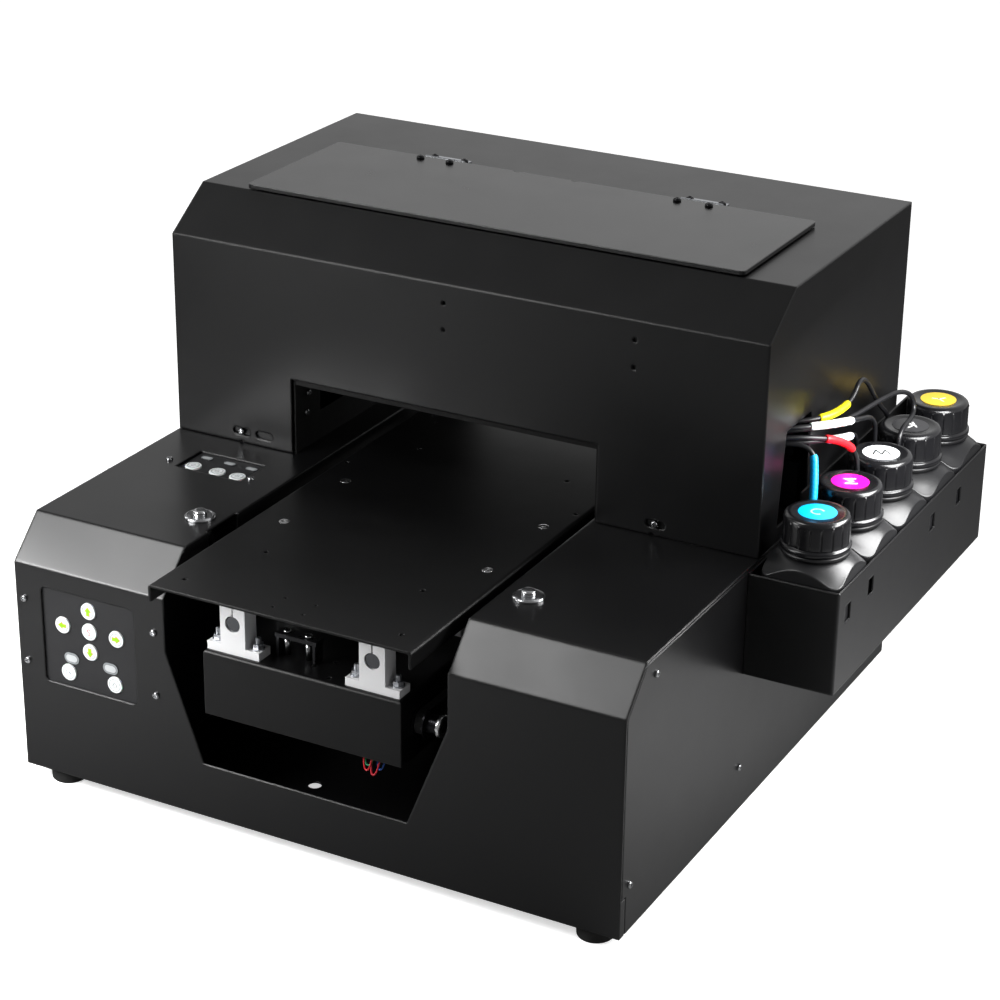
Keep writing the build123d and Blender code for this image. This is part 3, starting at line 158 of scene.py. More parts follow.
def surface(name, dark, light, rough, metallic=0.0, patch=60.0, grain=0.6, bump=0.02, rough_spread=0.06,
            edge=0.0, **shader_inputs):
    """A finish: two close colours in patches, uneven gloss, a fine relief and softened edges, in mm.

    The same colour twice is a plain one. edge is the radius that a sharp fold is rounded to."""
    made = bpy.data.materials.new(name)
    made.use_nodes = True
    tree = made.node_tree
    shader = tree.nodes["Principled BSDF"]
    place = add_node(tree, "ShaderNodeTexCoord").outputs["Object"]
    shader.inputs["Base Color"].default_value = linear(dark)
    if light != dark:
        patches = add_node(tree, "ShaderNodeTexNoise", {"Vector": place, "Scale": 1000 / patch, "Detail": 3.0,
                                                       "Roughness": 0.55})
        tone = add_node(tree, "ShaderNodeMix", {0: patches.outputs["Fac"], 6: linear(dark), 7: linear(light)},
                        data_type="RGBA")
        tree.links.new(tone.outputs[2], shader.inputs["Base Color"])
    wiped = add_node(tree, "ShaderNodeTexNoise", {"Vector": place, "Scale": 1700 / patch, "Detail": 5.0,
                                                 "Roughness": 0.65})
    gloss = add_node(tree, "ShaderNodeMapRange", {"Value": wiped.outputs["Fac"], "From Min": 0.3, "From Max": 0.7,
                                                 "To Min": rough - rough_spread, "To Max": rough + rough_spread})
    tree.links.new(gloss.outputs["Result"], shader.inputs["Roughness"])
    relief = add_node(tree, "ShaderNodeTexNoise", {"Vector": place, "Scale": 1000 / grain, "Detail": 2.0})
    lifted = add_node(tree, "ShaderNodeBump", {"Height": relief.outputs["Fac"], "Distance": bump / 1000,
                                              "Strength": 0.6})
    if edge:
        soft_edge = add_node(tree, "ShaderNodeBevel", {"Radius": edge / 1000}, samples=6)
        tree.links.new(soft_edge.outputs["Normal"], lifted.inputs["Normal"])
    tree.links.new(lifted.outputs["Normal"], shader.inputs["Normal"])
    shader.inputs["Metallic"].default_value = metallic
    for socket, value in shader_inputs.items():
        shader.inputs[socket.replace("_", " ")].default_value = value
    return made


# extruded polyurethane: semi-gloss black, the grain of the die too fine to show except as sheen
tube_skin = surface("extruded_polyurethane", "0b0b0c", "17171a", 0.34, patch=14, grain=1.4, bump=0.05)

TUBE_D = 0.0036
TUBE_ROUTES = {
    "ink_tube_cyan": [(462, 250, 268), (493, 263, 276), (500, 252, 246), (501, 246, 222), (501, 243, 203)],
    "ink_tube_magenta": [(462, 256, 271), (488, 267, 275), (507, 309, 258), (511, 309, 232), (511, 305, 205)],
    "ink_tube_white_a": [(462, 262, 266), (488, 270, 269), (500, 312, 260), (491, 354, 247), (490, 362, 222),
                         (492, 361, 203)],
    "ink_tube_white_b": [(462, 258, 278), (489, 268, 281), (503, 318, 272), (501, 361, 260), (500, 371, 237),
                         (500, 367, 203)],
    "ink_tube_black": [(462, 266, 273), (489, 277, 276), (497, 325, 270), (503, 366, 271), (509, 390, 271),
                       (513, 407, 263), (515, 409, 251), (516.5, 396, 247.5), (517, 377, 247.5),
                       (517, 371, 236), (517, 374, 204)],
    "ink_tube_yellow": [(462, 270, 279), (489, 281, 281), (497, 322, 281), (497, 341, 300), (494, 388, 258),
                        (491, 424, 236), (493, 436, 203)]}


def spline_curve(name, points, radius):
    """A smooth curve with the points as its control points, round in section."""
    curve = bpy.data.curves.new(name, "CURVE")
    curve.dimensions, curve.resolution_u = "3D", 16
    curve.bevel_depth, curve.bevel_resolution, curve.use_fill_caps = radius, 5, True
    line = curve.splines.new("NURBS")
    line.points.add(len(points) - 1)
    for control, point in zip(line.points, points):
        control.co = (*point, 1)
    line.order_u = 3
    line.use_endpoint_u = True
    return curve


def centre_line(points):
    """The smooth curve's own points, in order, from its first end to its last."""
    bare = bpy.data.objects.new("bare_line", spline_curve("bare_line", points, 0))
    mesh = bpy.data.meshes.new_from_object(bare)
    line = [vertex.co.copy() for vertex in mesh.vertices]
    bpy.data.objects.remove(bare)
    bpy.data.meshes.remove(mesh)
    return line


for tube_name, route in TUBE_ROUTES.items():
    tube = keep(bpy.data.objects.new(tube_name + "_hose",
                                     spline_curve(tube_name, [at(*p) for p in route], TUBE_D / 2)))
    tube.data.materials.append(tube_skin)
    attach(tube, "chassis")
    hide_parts(tube_name)

# ---- Coloured sleeves on the tubes ----
# A length of shrunk polyolefin sleeve on each tube but the black one says which ink it
# carries. It was shrunk with hot air, so it lies tight, a little puckered, with rolled ends.
SLEEVES = {"ink_tube_cyan": ("cyan", "00a6e6", 0.36, 0.69), "ink_tube_magenta": ("red", "e3121e", 0.33, 0.60),
           "ink_tube_white_a": ("white_low", "f2f2ef", 0.27, 0.55),
           "ink_tube_white_b": ("white_high", "f6f6f4", 0.16, 0.43),
           "ink_tube_yellow": ("yellow", "f2dc10", 0.13, 0.29)}
SLEEVE_R, SLEEVE_SIDES = 0.0029, 20
ROLL, ROLL_SHARE, PUCKER = 0.00045, 0.035, 0.00010
CLOSER = 4  # points per step of the tube's line, so that the puckers show


def swept_wall(name, line, radius_at, sides):
    """A closed tube of quads round a line; radius_at(share of length, angle) gives its radius."""
    lengths = [0.0]
    for before, here in zip(line, line[1:]):
        lengths.append(lengths[-1] + (here - before).length)
    build = bmesh.new()
    side = (line[1] - line[0]).orthogonal().normalized()
    rings = []
    for i, centre in enumerate(line):
        ahead = (line[min(i + 1, len(line) - 1)] - line[max(i - 1, 0)]).normalized()
        side = (side - ahead * side.dot(ahead)).normalized()
        other = ahead.cross(side)
        ring = []
        for k in range(sides):
            angle = 2 * math.pi * k / sides
            r = radius_at(lengths[i] / lengths[-1], angle)
            ring.append(build.verts.new(centre + side * (r * math.cos(angle)) + other * (r * math.sin(angle))))
        rings.append(ring)
    for low, high in zip(rings, rings[1:]):
        for k in range(sides):
            build.faces.new((low[k], low[(k + 1) % sides], high[(k + 1) % sides], high[k]))
    build.faces.new(reversed(rings[0]))
    build.faces.new(rings[-1])
    mesh = bpy.data.meshes.new(name)
    for face in build.faces:
        face.smooth = len(face.verts) == 4
    build.to_mesh(mesh)
    build.free()
    return mesh


def sleeve_radius(share, angle):
    """Rolled in at both ends, and puckered between them."""
    rolled = ROLL * (math.exp(-(share / ROLL_SHARE) ** 2) + math.exp(-((1 - share) / ROLL_SHARE) ** 2))
    pucker = PUCKER * math.sin(2 * angle + 21 * share) * math.sin(47 * share + 3 * math.sin(angle))
    return SLEEVE_R - rolled + pucker


for tube_name, (tint, colour, start, end) in SLEEVES.items():
    line = centre_line([at(*p) for p in TUBE_ROUTES[tube_name]])
    total = sum((b - a).length for a, b in zip(line, line[1:]))
    covered, run, gone = [], [], 0.0
    for before, here in zip(line, line[1:]):
        if start <= gone / total <= end:
            run.append(before)
        gone += (here - before).length
    for before, here in zip(run, run[1:]):
        covered += [before.lerp(here, k / CLOSER) for k in range(CLOSER)]
    covered.append(run[-1])
    sleeve = keep(bpy.data.objects.new("tube_sleeve_" + tint,
                                       swept_wall("tube_sleeve_" + tint, covered, sleeve_radius, SLEEVE_SIDES)))
    # shrunk polyolefin: one bright colour, waxy, with a 1 mm ripple left by the hot air
    sleeve.data.materials.append(surface("shrunk_polyolefin_" + tint, colour, colour, 0.38, patch=9, grain=1.1,
                                         bump=0.08, Subsurface_Weight=0.08))
    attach(sleeve, "chassis")

# ---- Motor leads ----
# The table motor's thin hook-up wires hang in short loops out of the open underside of the
# lift beam and go back up into it. PVC insulation on stranded copper, 1.3 mm across.
LEAD_D = 0.0013
LEADS = {"red_a": ("d3202c", [(283, 7, 104), (283, 6, 92), (284.5, 4.2, 83.5), (288, 4, 83.5), (290, 5.5, 92),
                              (291, 8, 104)]),
         "red_b": ("b51828", [(288, 9, 104), (288.5, 7, 91), (290.5, 3, 81.5), (294, 3, 82), (296, 6, 92),
                              (297, 9, 104)]),
         "green": ("128a5a", [(284, 10, 104), (283.5, 8, 94), (285, 5, 87), (289, 5, 87), (290.5, 8, 94),
                              (291, 11, 104)]),
         "blue": ("1d4fa3", [(291, 12, 104), (291.5, 10, 93), (293.5, 7, 84.5), (297, 7, 85), (298.5, 10, 94),
                             (299, 12, 104)])}
for tint, (colour, route) in LEADS.items():
    lead = keep(bpy.data.objects.new("motor_lead_" + tint,
                                     spline_curve("motor_lead_" + tint, [at(*p) for p in route], LEAD_D / 2)))
    # plasticised PVC: one flat colour with a soft gloss
    lead.data.materials.append(surface("pvc_insulation_" + tint, colour, colour, 0.42, patch=8, grain=0.9,
                                       bump=0.02))
    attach(lead, "lift")
    line = centre_line([at(*p) for p in route])

# ---- Sheet-steel casings ----
# The base's bent cover, side panels and pan, the hood, the lid, the ink tray and the table
# are 1.5 to 2 mm steel sheet, folded and powder coated satin black. The coat melts into a
# fine orange peel and picks up a little dust, so its gloss is uneven.


def dress(material, *nodes):
    for name in nodes:
        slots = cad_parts[name].data.materials
        slots.clear()
        slots.append(material)


# powder coat: orange peel about 1 mm across
casing_coat = surface("satin_powder_coat", "060607", "0b0b0c", 0.31, patch=90, grain=1.0, bump=0.012,
                      rough_spread=0.02, edge=2.4, Specular_IOR_Level=0.5)
dress(casing_coat, "base_cover", "side_panels", "base_pan", "ink_tray", "hood_shell")
# the lid's coat is smoother than the hood's, and throws back more of the room
lid_coat = surface("smooth_powder_coat", "0c0c0d", "121213", 0.25, patch=120, grain=1.3, bump=0.006,
                   rough_spread=0.03, edge=0.8, Specular_IOR_Level=0.8)
dress(lid_coat, "lid")
# the table's coat: flatter than the casings', with an orange peel about 0.9 mm across
table_coat = surface("table_powder_coat", "050505", "0a0a0b", 0.38, patch=70, grain=0.9, bump=0.014,
                     rough_spread=0.03, edge=1.6, Specular_IOR_Level=0.3)
dress(table_coat, "print_table", "lift_beam")

# ---- Rubber feet ----
# Four feet moulded in black rubber, screwed under the pan. Two of them show below the front
# edge of the casing.
# moulded rubber: matt, with a dusty bloom in 12 mm patches
dress(surface("moulded_rubber", "0a0a0a", "1a1a19", 0.72, patch=12, grain=0.7, bump=0.04), "rubber_feet")

# ---- Screws, studs and other small steel ----
# Pan-head cross-recess screws, bright nickel plated, hold the casings. The studs, nuts and
# hinges are zinc plated, which is duller and slightly blue.
# nickel plate: bright, and slightly uneven in tone every 5 mm
nickel = surface("nickel_plate", "8f9092", "c9cacc", 0.20, metallic=1.0, patch=5, grain=0.4, bump=0.01)
dress(nickel, "case_screws")
# zinc plate: greyer, and clouded every 7 mm
zinc = surface("zinc_plate", "9b9ea3", "c4c6ca", 0.30, metallic=1.0, patch=7, grain=0.5, bump=0.02)
dress(zinc, "beam_fittings", "hood_hinge_leaves", "lid_hinge_leaves")

# ---- Frame inside the hood ----
# Legs and a cross beam of folded steel carry the print mechanism, and a strip behind the hood's
# front closes its spare holes. Both are blackened, so little light comes back out.
# blackened sheet: flat black, with a fine grain of 0.8 mm
black_coat_frame = surface("blackened_sheet", "060606", "0b0b0b", 0.5, patch=40, grain=0.8, bump=0.02,
                           Specular_IOR_Level=0.25)
dress(black_coat_frame, "print_frame")
inner_strip = bpy.data.meshes.new("spare_hole_strip")
low, high = at(372, 207.8, 317), at(389, 208.8, 353)
inner_strip.from_pydata([(x, y, z) for x in (low.x, high.x) for y in (low.y, high.y) for z in (low.z, high.z)], [],
                        [(0, 1, 3, 2), (4, 6, 7, 5), (0, 4, 5, 1), (2, 3, 7, 6), (0, 2, 6, 4), (1, 5, 7, 3)])
inner_strip.materials.append(black_coat_frame)
strip = keep(bpy.data.objects.new("spare_hole_strip", inner_strip))
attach(strip, "chassis")

# ---- Stud threads ----
# The studs that hold the shaft supports are M4: their free ends show a rolled thread above
# the nuts. Each turn is one ring of a stack.


def ring_stack(name, places, radius, thickness, pitch, turns, material):
    """Rings stacked upwards from every place, made by Geometry Nodes and kept as a plain mesh."""
    tree = bpy.data.node_groups.new(name + "_tree", "GeometryNodeTree")
    sockets = {}
    for label, kind, value in (("Ring radius", "NodeSocketFloat", radius),
                               ("Wire radius", "NodeSocketFloat", thickness),
                               ("Pitch", "NodeSocketFloat", pitch), ("Turns", "NodeSocketInt", turns)):
        sockets[label] = (tree.interface.new_socket(label, in_out="INPUT", socket_type=kind), value)
    geometry_in = tree.interface.new_socket("Places", in_out="INPUT", socket_type="NodeSocketGeometry")
    tree.interface.move(geometry_in, 0)
    tree.interface.new_socket("Geometry", in_out="OUTPUT", socket_type="NodeSocketGeometry")
    given = add_node(tree, "NodeGroupInput").outputs
    step = add_node(tree, "ShaderNodeCombineXYZ", {"Z": given["Pitch"]})
    stack = add_node(tree, "GeometryNodeMeshLine", {"Count": given["Turns"], "Offset": step.outputs[0]})
    ring = add_node(tree, "GeometryNodeCurvePrimitiveCircle", {"Resolution": 20, "Radius": given["Ring radius"]})
    wire = add_node(tree, "GeometryNodeCurvePrimitiveCircle", {"Resolution": 6, "Radius": given["Wire radius"]})
    turn = add_node(tree, "GeometryNodeCurveToMesh", {"Curve": ring.outputs["Curve"],
                                                     "Profile Curve": wire.outputs["Curve"]})
    stacked = add_node(tree, "GeometryNodeInstanceOnPoints", {"Points": stack.outputs["Mesh"],
                                                             "Instance": turn.outputs["Mesh"]})
    spread = add_node(tree, "GeometryNodeInstanceOnPoints", {"Points": given["Places"],
                                                            "Instance": stacked.outputs["Instances"]})
    real = add_node(tree, "GeometryNodeRealizeInstances", {"Geometry": spread.outputs["Instances"]})
    finished = add_node(tree, "GeometryNodeSetMaterial", {"Geometry": real.outputs["Geometry"],
                                                         "Material": material})
    add_node(tree, "NodeGroupOutput", {"Geometry": finished.outputs["Geometry"]})
    points = bpy.data.meshes.new(name + "_places")
    points.from_pydata([tuple(place) for place in places], [], [])
    carrier = keep(bpy.data.objects.new(name + "_carrier", points))
    modifier = carrier.modifiers.new("rings", "NODES")
    modifier.node_group = tree
    for socket, value in sockets.values():
        modifier[socket.identifier] = value
    return plain_copy(name, carrier)


def plain_copy(name, carrier):
    """The evaluated carrier as an object with a plain mesh; the carrier is removed."""
    bpy.context.view_layer.update()
    mesh = bpy.data.meshes.new_from_object(carrier.evaluated_get(bpy.context.evaluated_depsgraph_get()))
    mesh.name = name
    bpy.data.objects.remove(carrier)
    return keep(bpy.data.objects.new(name, mesh))


def loose_parts(node):
    """The middle, the lowest and the highest corner of each separate solid of a CAD node."""
    build = bmesh.new()
    build.from_mesh(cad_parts[node].data)
    bmesh.ops.remove_doubles(build, verts=build.verts, dist=1e-6)
    left, found = set(build.verts), []
    while left:
        queue, part = [left.pop()], []
        while queue:
            vertex = queue.pop()
            part.append(vertex.co.copy())
            for edge in vertex.link_edges:
                other = edge.other_vert(vertex)
                if other in left:
                    left.remove(other)
                    queue.append(other)
        low = Vector([min(p[i] for p in part) for i in range(3)])
        high = Vector([max(p[i] for p in part) for i in range(3)])
        found.append(((low + high) / 2, low, high))
    build.free()
    return found


STUD_LENGTH, STUD_R = 0.0165, 0.0020
THREAD_PITCH, THREAD_WIRE, THREAD_SUNK = 0.0007, 0.00026, 0.00008
THREAD_TURNS, THREAD_REACH = 5, 0.0041
stud_tops = [(middle.x, middle.y, high.z) for middle, low, high in loose_parts("beam_fittings")
             if abs(high.z - low.z - STUD_LENGTH) < 0.001]
threads = ring_stack("stud_threads", [(x, y, z - THREAD_REACH) for x, y, z in stud_tops], STUD_R - THREAD_SUNK,
                     THREAD_WIRE, THREAD_PITCH, THREAD_TURNS, zinc)
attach(threads, "lift")

# ---- Rods, shafts and shaft supports ----
# Hardened and ground steel rods, 12 mm across, in split supports of extruded aluminium,
# clear anodised, with sawn edges.
# ground steel: a near mirror, with grinding marks 0.25 mm apart that only spread the light
ground_steel = surface("ground_steel", "4c4d50", "6c6d70", 0.20, metallic=1.0, patch=30, grain=0.25, bump=0.003)
dress(ground_steel, "table_rods", "guide_shafts", "lead_screw")
# clear anodised aluminium: milky white, since the etch under the film scatters light
anodised = surface("anodised_extrusion", "ececed", "f6f6f7", 0.40, metallic=0.15, patch=18, grain=0.35, bump=0.01,
                   edge=0.4)
dress(anodised, "shaft_supports", "bearing_blocks")

# ---- Pulleys, belts and motors ----
# Black anodised pulleys with 2 mm teeth, neoprene belts and black stepper motors.
# black anodised aluminium: dark metal with a soft edge to its gloss
dress(surface("black_anodised", "1b1b1d", "2a2a2d", 0.30, metallic=0.9, patch=10, grain=0.4, bump=0.01),
      "table_drive_pulley", "table_idler_pulley", "carriage_drive_pulley")
# neoprene: matt, with a 0.5 mm cloth grain
neoprene = surface("neoprene_belt", "0c0c0c", "171717", 0.62, patch=10, grain=0.5, bump=0.03)
dress(neoprene, "table_belt", "carriage_belt")
# stoved enamel on the motors' stacks: half gloss
dress(surface("motor_enamel", "121213", "1f1f21", 0.45, patch=20, grain=0.6, bump=0.02),
      "table_motor", "lift_motor", "carriage_motor")

# ---- Sensor bracket ----
# A small folded steel bar near the beam's front holds the table's home sensor. Black zinc
# plated, like the screws of the lid's hinges.
# black zinc: dark, half metallic, and slightly patchy every 8 mm
black_zinc = surface("black_zinc", "131314", "242427", 0.30, metallic=0.6, patch=8, grain=0.5, bump=0.02)
dress(black_zinc, "sensor_bracket")

# ---- Print mechanism, under the hood ----
# Moulded ABS carriage with the ink dampers, a steel print head, a finned aluminium lamp and
# the capping station. The board and the power supply's galvanised case are in the base.
# moulded ABS: dark grey, half gloss, with the tool's 0.7 mm grain
moulded_abs = surface("moulded_abs", "17171a", "232326", 0.42, patch=24, grain=0.7, bump=0.02)
dress(moulded_abs, "print_carriage", "capping_station")
dress(zinc, "print_head")
# sawn aluminium: pale, dulled by the saw's marks
dress(surface("sawn_aluminium", "9a9c9f", "c2c4c6", 0.4, metallic=0.9, patch=14, grain=0.5, bump=0.02), "uv_lamp")
# solder resist: green lacquer over copper
dress(surface("solder_resist", "0c3a1c", "14502a", 0.35, patch=18, grain=0.8, bump=0.02), "main_board")
# galvanised sheet: pale, with a soft spangle 3 mm across
dress(surface("galvanised_sheet", "6d7074", "8f9296", 0.38, metallic=1.0, patch=16, grain=3.0, bump=0.01),
      "power_supply")

# ---- Control plates, keys and lamps ----
# Moulded ABS plates behind the cut-outs carry round keys of white polycarbonate, printed
# with a grey ring and a sign, and grey lamp windows.
# textured ABS: spark-eroded grain 0.6 mm wide, which takes the gloss off
dress(surface("textured_abs", "121214", "1b1b1d", 0.5, patch=30, grain=0.6, bump=0.03), "panel_plates")
KEY_NAMES = ["up_key", "left_key", "stop_key", "right_key", "down_key", "enter_key", "ink_key"]
DECK_KEY_NAMES = ["deck_power_key", "deck_ink_key", "deck_feed_key"]
# white polycarbonate: glossy, with a little light let into it
key_white = surface("white_polycarbonate", "dfe2e0", "eceeed", 0.28, patch=6, grain=0.5, bump=0.01,
                    Subsurface_Weight=0.05)
dress(key_white, *KEY_NAMES, *DECK_KEY_NAMES)
PRINT_LIFT, PRINT_T = 0.00003, 0.00012


def printed(name, flat_polygons, origin, across, up, colour, body, rough=0.4):
    """Thin printed shapes on a face: polygons in millimetres about origin, along across and up."""
    out = across.cross(up)
    build = bmesh.new()
    for polygon in flat_polygons:
        foot = [build.verts.new(origin + (across * u + up * v) / 1000 + out * PRINT_LIFT) for u, v in polygon]
        face = build.faces.new(foot)
        pushed = bmesh.ops.extrude_face_region(build, geom=[face])
        moved = [item for item in pushed["geom"] if isinstance(item, bmesh.types.BMVert)]
        bmesh.ops.translate(build, verts=moved, vec=out * PRINT_T)
    bmesh.ops.recalc_face_normals(build, faces=build.faces)
    mesh = bpy.data.meshes.new(name)
    build.to_mesh(mesh)
    build.free()
    piece = keep(bpy.data.objects.new(name, mesh))
    # pad-printed ink: one colour, as flat as the plastic under it
    mesh.materials.append(surface("print_" + name, colour, colour, rough, patch=30, grain=0.3, bump=0.001,
                                  rough_spread=0.02))
    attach(piece, body)
    return piece


def ring_quads(outer, inner, count=40, squash=1.0, stretch=0.0):
    """A flat ring as quads; stretch pulls its two halves apart to make a capsule."""
    quads = []
    for k in range(count):
        corners = []
        for radius, step in ((outer, k), (outer, k + 1), (inner, k + 1), (inner, k)):
            angle = 2 * math.pi * step / count
            shift = math.copysign(stretch, math.cos(2 * math.pi * (k + 0.5) / count))
            corners.append((radius * math.cos(angle) + shift, squash * radius * math.sin(angle)))
        quads.append(corners)
    if stretch:
        for side in (1, -1):
            quads.append([(-stretch, side * squash * inner), (stretch, side * squash * inner),
                          (stretch, side * squash * outer), (-stretch, side * squash * outer)])
    return quads


def stroke(points, width):
    """A line of short thick strokes as quads, with overlapping round-ish joints."""
    quads = []
    for (x0, y0), (x1, y1) in zip(points, points[1:]):
        length = math.hypot(x1 - x0, y1 - y0)
        ux, uy = (x1 - x0) / length * width / 2, (y1 - y0) / length * width / 2
        quads.append([(x0 - ux * 0.5 + uy, y0 - uy * 0.5 - ux), (x1 + ux * 0.5 + uy, y1 + uy * 0.5 - ux),
                      (x1 + ux * 0.5 - uy, y1 + uy * 0.5 + ux), (x0 - ux * 0.5 - uy, y0 - uy * 0.5 + ux)])
    return quads


def arc(cx, cy, radius, start, end, count=10):
    angles = [math.radians(start + (end - start) * k / count) for k in range(count + 1)]
    return [(cx + radius * math.cos(a), cy + radius * math.sin(a)) for a in angles]


def turned(polygons, degrees):
    c, s = math.cos(math.radians(degrees)), math.sin(math.radians(degrees))
    return [[(u * c - v * s, u * s + v * c) for u, v in polygon] for polygon in polygons]


ARROW_HEAD = [(-2.5, 0.2), (0, 3.3), (2.5, 0.2)]
ARROW_SHAFT = [(-1.15, -3.0), (1.15, -3.0), (1.15, 0.4), (-1.15, 0.4)]
ARROW_EDGE = [[(-3.0, -0.15), (0, 3.8), (3.0, -0.15)], [(-1.5, -3.35), (1.5, -3.35), (1.5, 0.4), (-1.5, 0.4)]]
SIGN_S = stroke(arc(0, 1.05, 1.1, 20, 250, 12) + arc(0, -1.05, 1.1, 70, -160, 12), 0.5)
SIGN_EN = (stroke([(-1.0, 1.2), (-2.3, 1.2), (-2.3, -1.2), (-1.0, -1.2)], 0.34) + stroke([(-2.2, 0), (-1.2, 0)], 0.34)
           + stroke([(0.4, -1.2), (0.4, 1.2), (1.9, -1.2), (1.9, 1.2)], 0.34))
SIGN_DROP = stroke([(0, 2.3)] + arc(0, -0.5, 1.5, 145, 395, 14) + [(0, 2.3)], 0.3)
SIGN_POWER = stroke(arc(0, 0, 1.5, 120, 420, 14), 0.3) + stroke([(0, 0.4), (0, 2.1)], 0.3)
SIGN_FEED = stroke([(-1.6, -1.4), (1.6, -1.4), (1.6, 0.2), (-1.6, 0.2), (-1.6, -1.4)], 0.3) + stroke(
    [(-0.9, 1.0), (0, 2.0), (0.9, 1.0)], 0.3)
ARROW_TURNS = {"up_key": 0, "left_key": 90, "right_key": -90, "down_key": 180}
SIGN_PROUD = 0.00008
FRONT_ACROSS, FRONT_UP = Vector((1, 0, 0)), Vector((0, 0, 1))
DECK_UP = Vector((0, 1, 0))
for key_name in KEY_NAMES:
    low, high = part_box(key_name)
    face = Vector(((low.x + high.x) / 2, low.y, (low.z + high.z) / 2))
    printed(key_name + "_ring", ring_quads(4.75, 4.35), face, FRONT_ACROSS, FRONT_UP, "8f9698", key_name)
    if key_name in ARROW_TURNS:
        angle = ARROW_TURNS[key_name]
        printed(key_name + "_sign_edge", turned(ARROW_EDGE, angle), face, FRONT_ACROSS, FRONT_UP, "e0714a",
                key_name)
        printed(key_name + "_sign", turned([ARROW_HEAD, ARROW_SHAFT], angle),
                face + Vector((0, -SIGN_PROUD, 0)), FRONT_ACROSS, FRONT_UP, "8fd416", key_name)
for key_name, sign, colour in (("stop_key", SIGN_S, "d8475c"), ("enter_key", SIGN_EN, "7d8488"),
                               ("ink_key", SIGN_DROP, "6d7478")):
    low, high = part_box(key_name)
    face = Vector(((low.x + high.x) / 2, low.y, (low.z + high.z) / 2))
    printed(key_name + "_sign", sign, face, FRONT_ACROSS, FRONT_UP, colour, key_name)
for key_name, sign in zip(DECK_KEY_NAMES, (SIGN_POWER, SIGN_DROP, SIGN_FEED)):
    low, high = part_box(key_name)
    face = Vector(((low.x + high.x) / 2, (low.y + high.y) / 2, high.z))
    printed(key_name + "_ring", ring_quads(4.5, 4.1), face, FRONT_ACROSS, DECK_UP, "8f9698", key_name)
    printed(key_name + "_sign", sign, face, FRONT_ACROSS, DECK_UP, "9aa0a3", key_name)

# lamp windows: a grey field, a dark line and a paler lens in the middle
LENS_PROUD, DECK_PLATE_TOP = 0.00013, 0.2019
panel_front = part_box("panel_plates")[0].y
for i, (x, z) in enumerate([(45, 108.2), (78.5, 108.4)]):
    face = Vector((at(x, 0, z).x, panel_front, z / 1000))
    printed(f"lamp_window_{i}", ring_quads(4.2, 0.01, 32, stretch=2.1), face, FRONT_ACROSS, FRONT_UP, "7f8385",
            "chassis", 0.3)
    printed(f"lamp_lens_{i}", ring_quads(2.7, 0.01, 32, stretch=2.1), face + Vector((0, -LENS_PROUD, 0)), FRONT_ACROSS,
            FRONT_UP, "b4b7b8", "chassis", 0.22)
    printed(f"lamp_line_{i}", ring_quads(3.0, 2.7, 32, stretch=2.1), face + Vector((0, -LENS_PROUD, 0)), FRONT_ACROSS,
            FRONT_UP, "4b4e50", "chassis", 0.3)
for i, (x, y) in enumerate([(50, 169.5), (70.5, 169), (90, 168.5)]):
    face = Vector((at(x, y, 0).x, at(x, y, 0).y, DECK_PLATE_TOP))
    printed(f"deck_lamp_{i}", ring_quads(2.5, 0.01, 32, stretch=2.2), face, FRONT_ACROSS, DECK_UP, "7f8385",
            "chassis", 0.3)
    printed(f"deck_lamp_lens_{i}", ring_quads(1.5, 0.01, 32, stretch=2.0), face + Vector((0, 0, LENS_PROUD)),
            FRONT_ACROSS, DECK_UP, "a9acad", "chassis", 0.22)

# ---- Lid hinge screws ----
# Pan-head screws hold each leaf of the two lid hinges, four in the lid and four in the hood.
# They are black zinc plated steel with a recess in the head.


def lathed(name, profile, centre, material, sides=64, ripple=None):
    """A closed turned shape: profile is (radius, height) in millimetres from the axis round to the axis."""
    build = bmesh.new()
    rings = []
    for index, (radius, height) in enumerate(profile):
        if radius == 0:
            rings.append([build.verts.new(centre + Vector((0, 0, height / 1000)))])
            continue
        ring = []
        for k in range(sides):
            angle = 2 * math.pi * k / sides
            r = radius + (ripple(index, angle) if ripple else 0)
            ring.append(build.verts.new(centre + Vector((r * math.cos(angle), r * math.sin(angle), height)) / 1000))
        rings.append(ring)
    for low, high in zip(rings, rings[1:]):
        for k in range(sides):
            corners = [low[k % len(low)], low[(k + 1) % len(low)], high[(k + 1) % len(high)], high[k % len(high)]]
            unique = list(dict.fromkeys(corners))
            if len(unique) > 2:
                build.faces.new(unique).smooth = True
    bmesh.ops.recalc_face_normals(build, faces=build.faces)
    mesh = bpy.data.meshes.new(name)
    build.to_mesh(mesh)
    build.free()
    mesh.materials.append(material)
    return keep(bpy.data.objects.new(name, mesh))


HINGE_HEAD = [(0, 0), (3.05, 0), (3.1, 0.9), (2.8, 1.7), (2.2, 2.25), (1.5, 2.45), (1.25, 2.45), (1.1, 1.4),
              (0, 1.3)]
HEAD_SUNK = Vector((0, 0, 0.00002))
# leaf, the body it rides on, its face's height, and its screws from left to right
HINGE_SCREWS = [("lid", "lid", 392.0, [(117.5, 371.5), (143, 371.5), (334, 371.5), (359.5, 371.5)]),
                ("leaf", "chassis", 388.8, [(120.5, 388.6), (146.5, 388.6), (336.5, 388.6), (362.5, 388.6)])]
for side, body, height, spots in HINGE_SCREWS:
    for i, (x, y) in enumerate(spots):
        head = lathed(f"{side}_hinge_screw_{i}", HINGE_HEAD, at(x, y, height) - HEAD_SUNK, black_zinc, 32)
        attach(head, body)

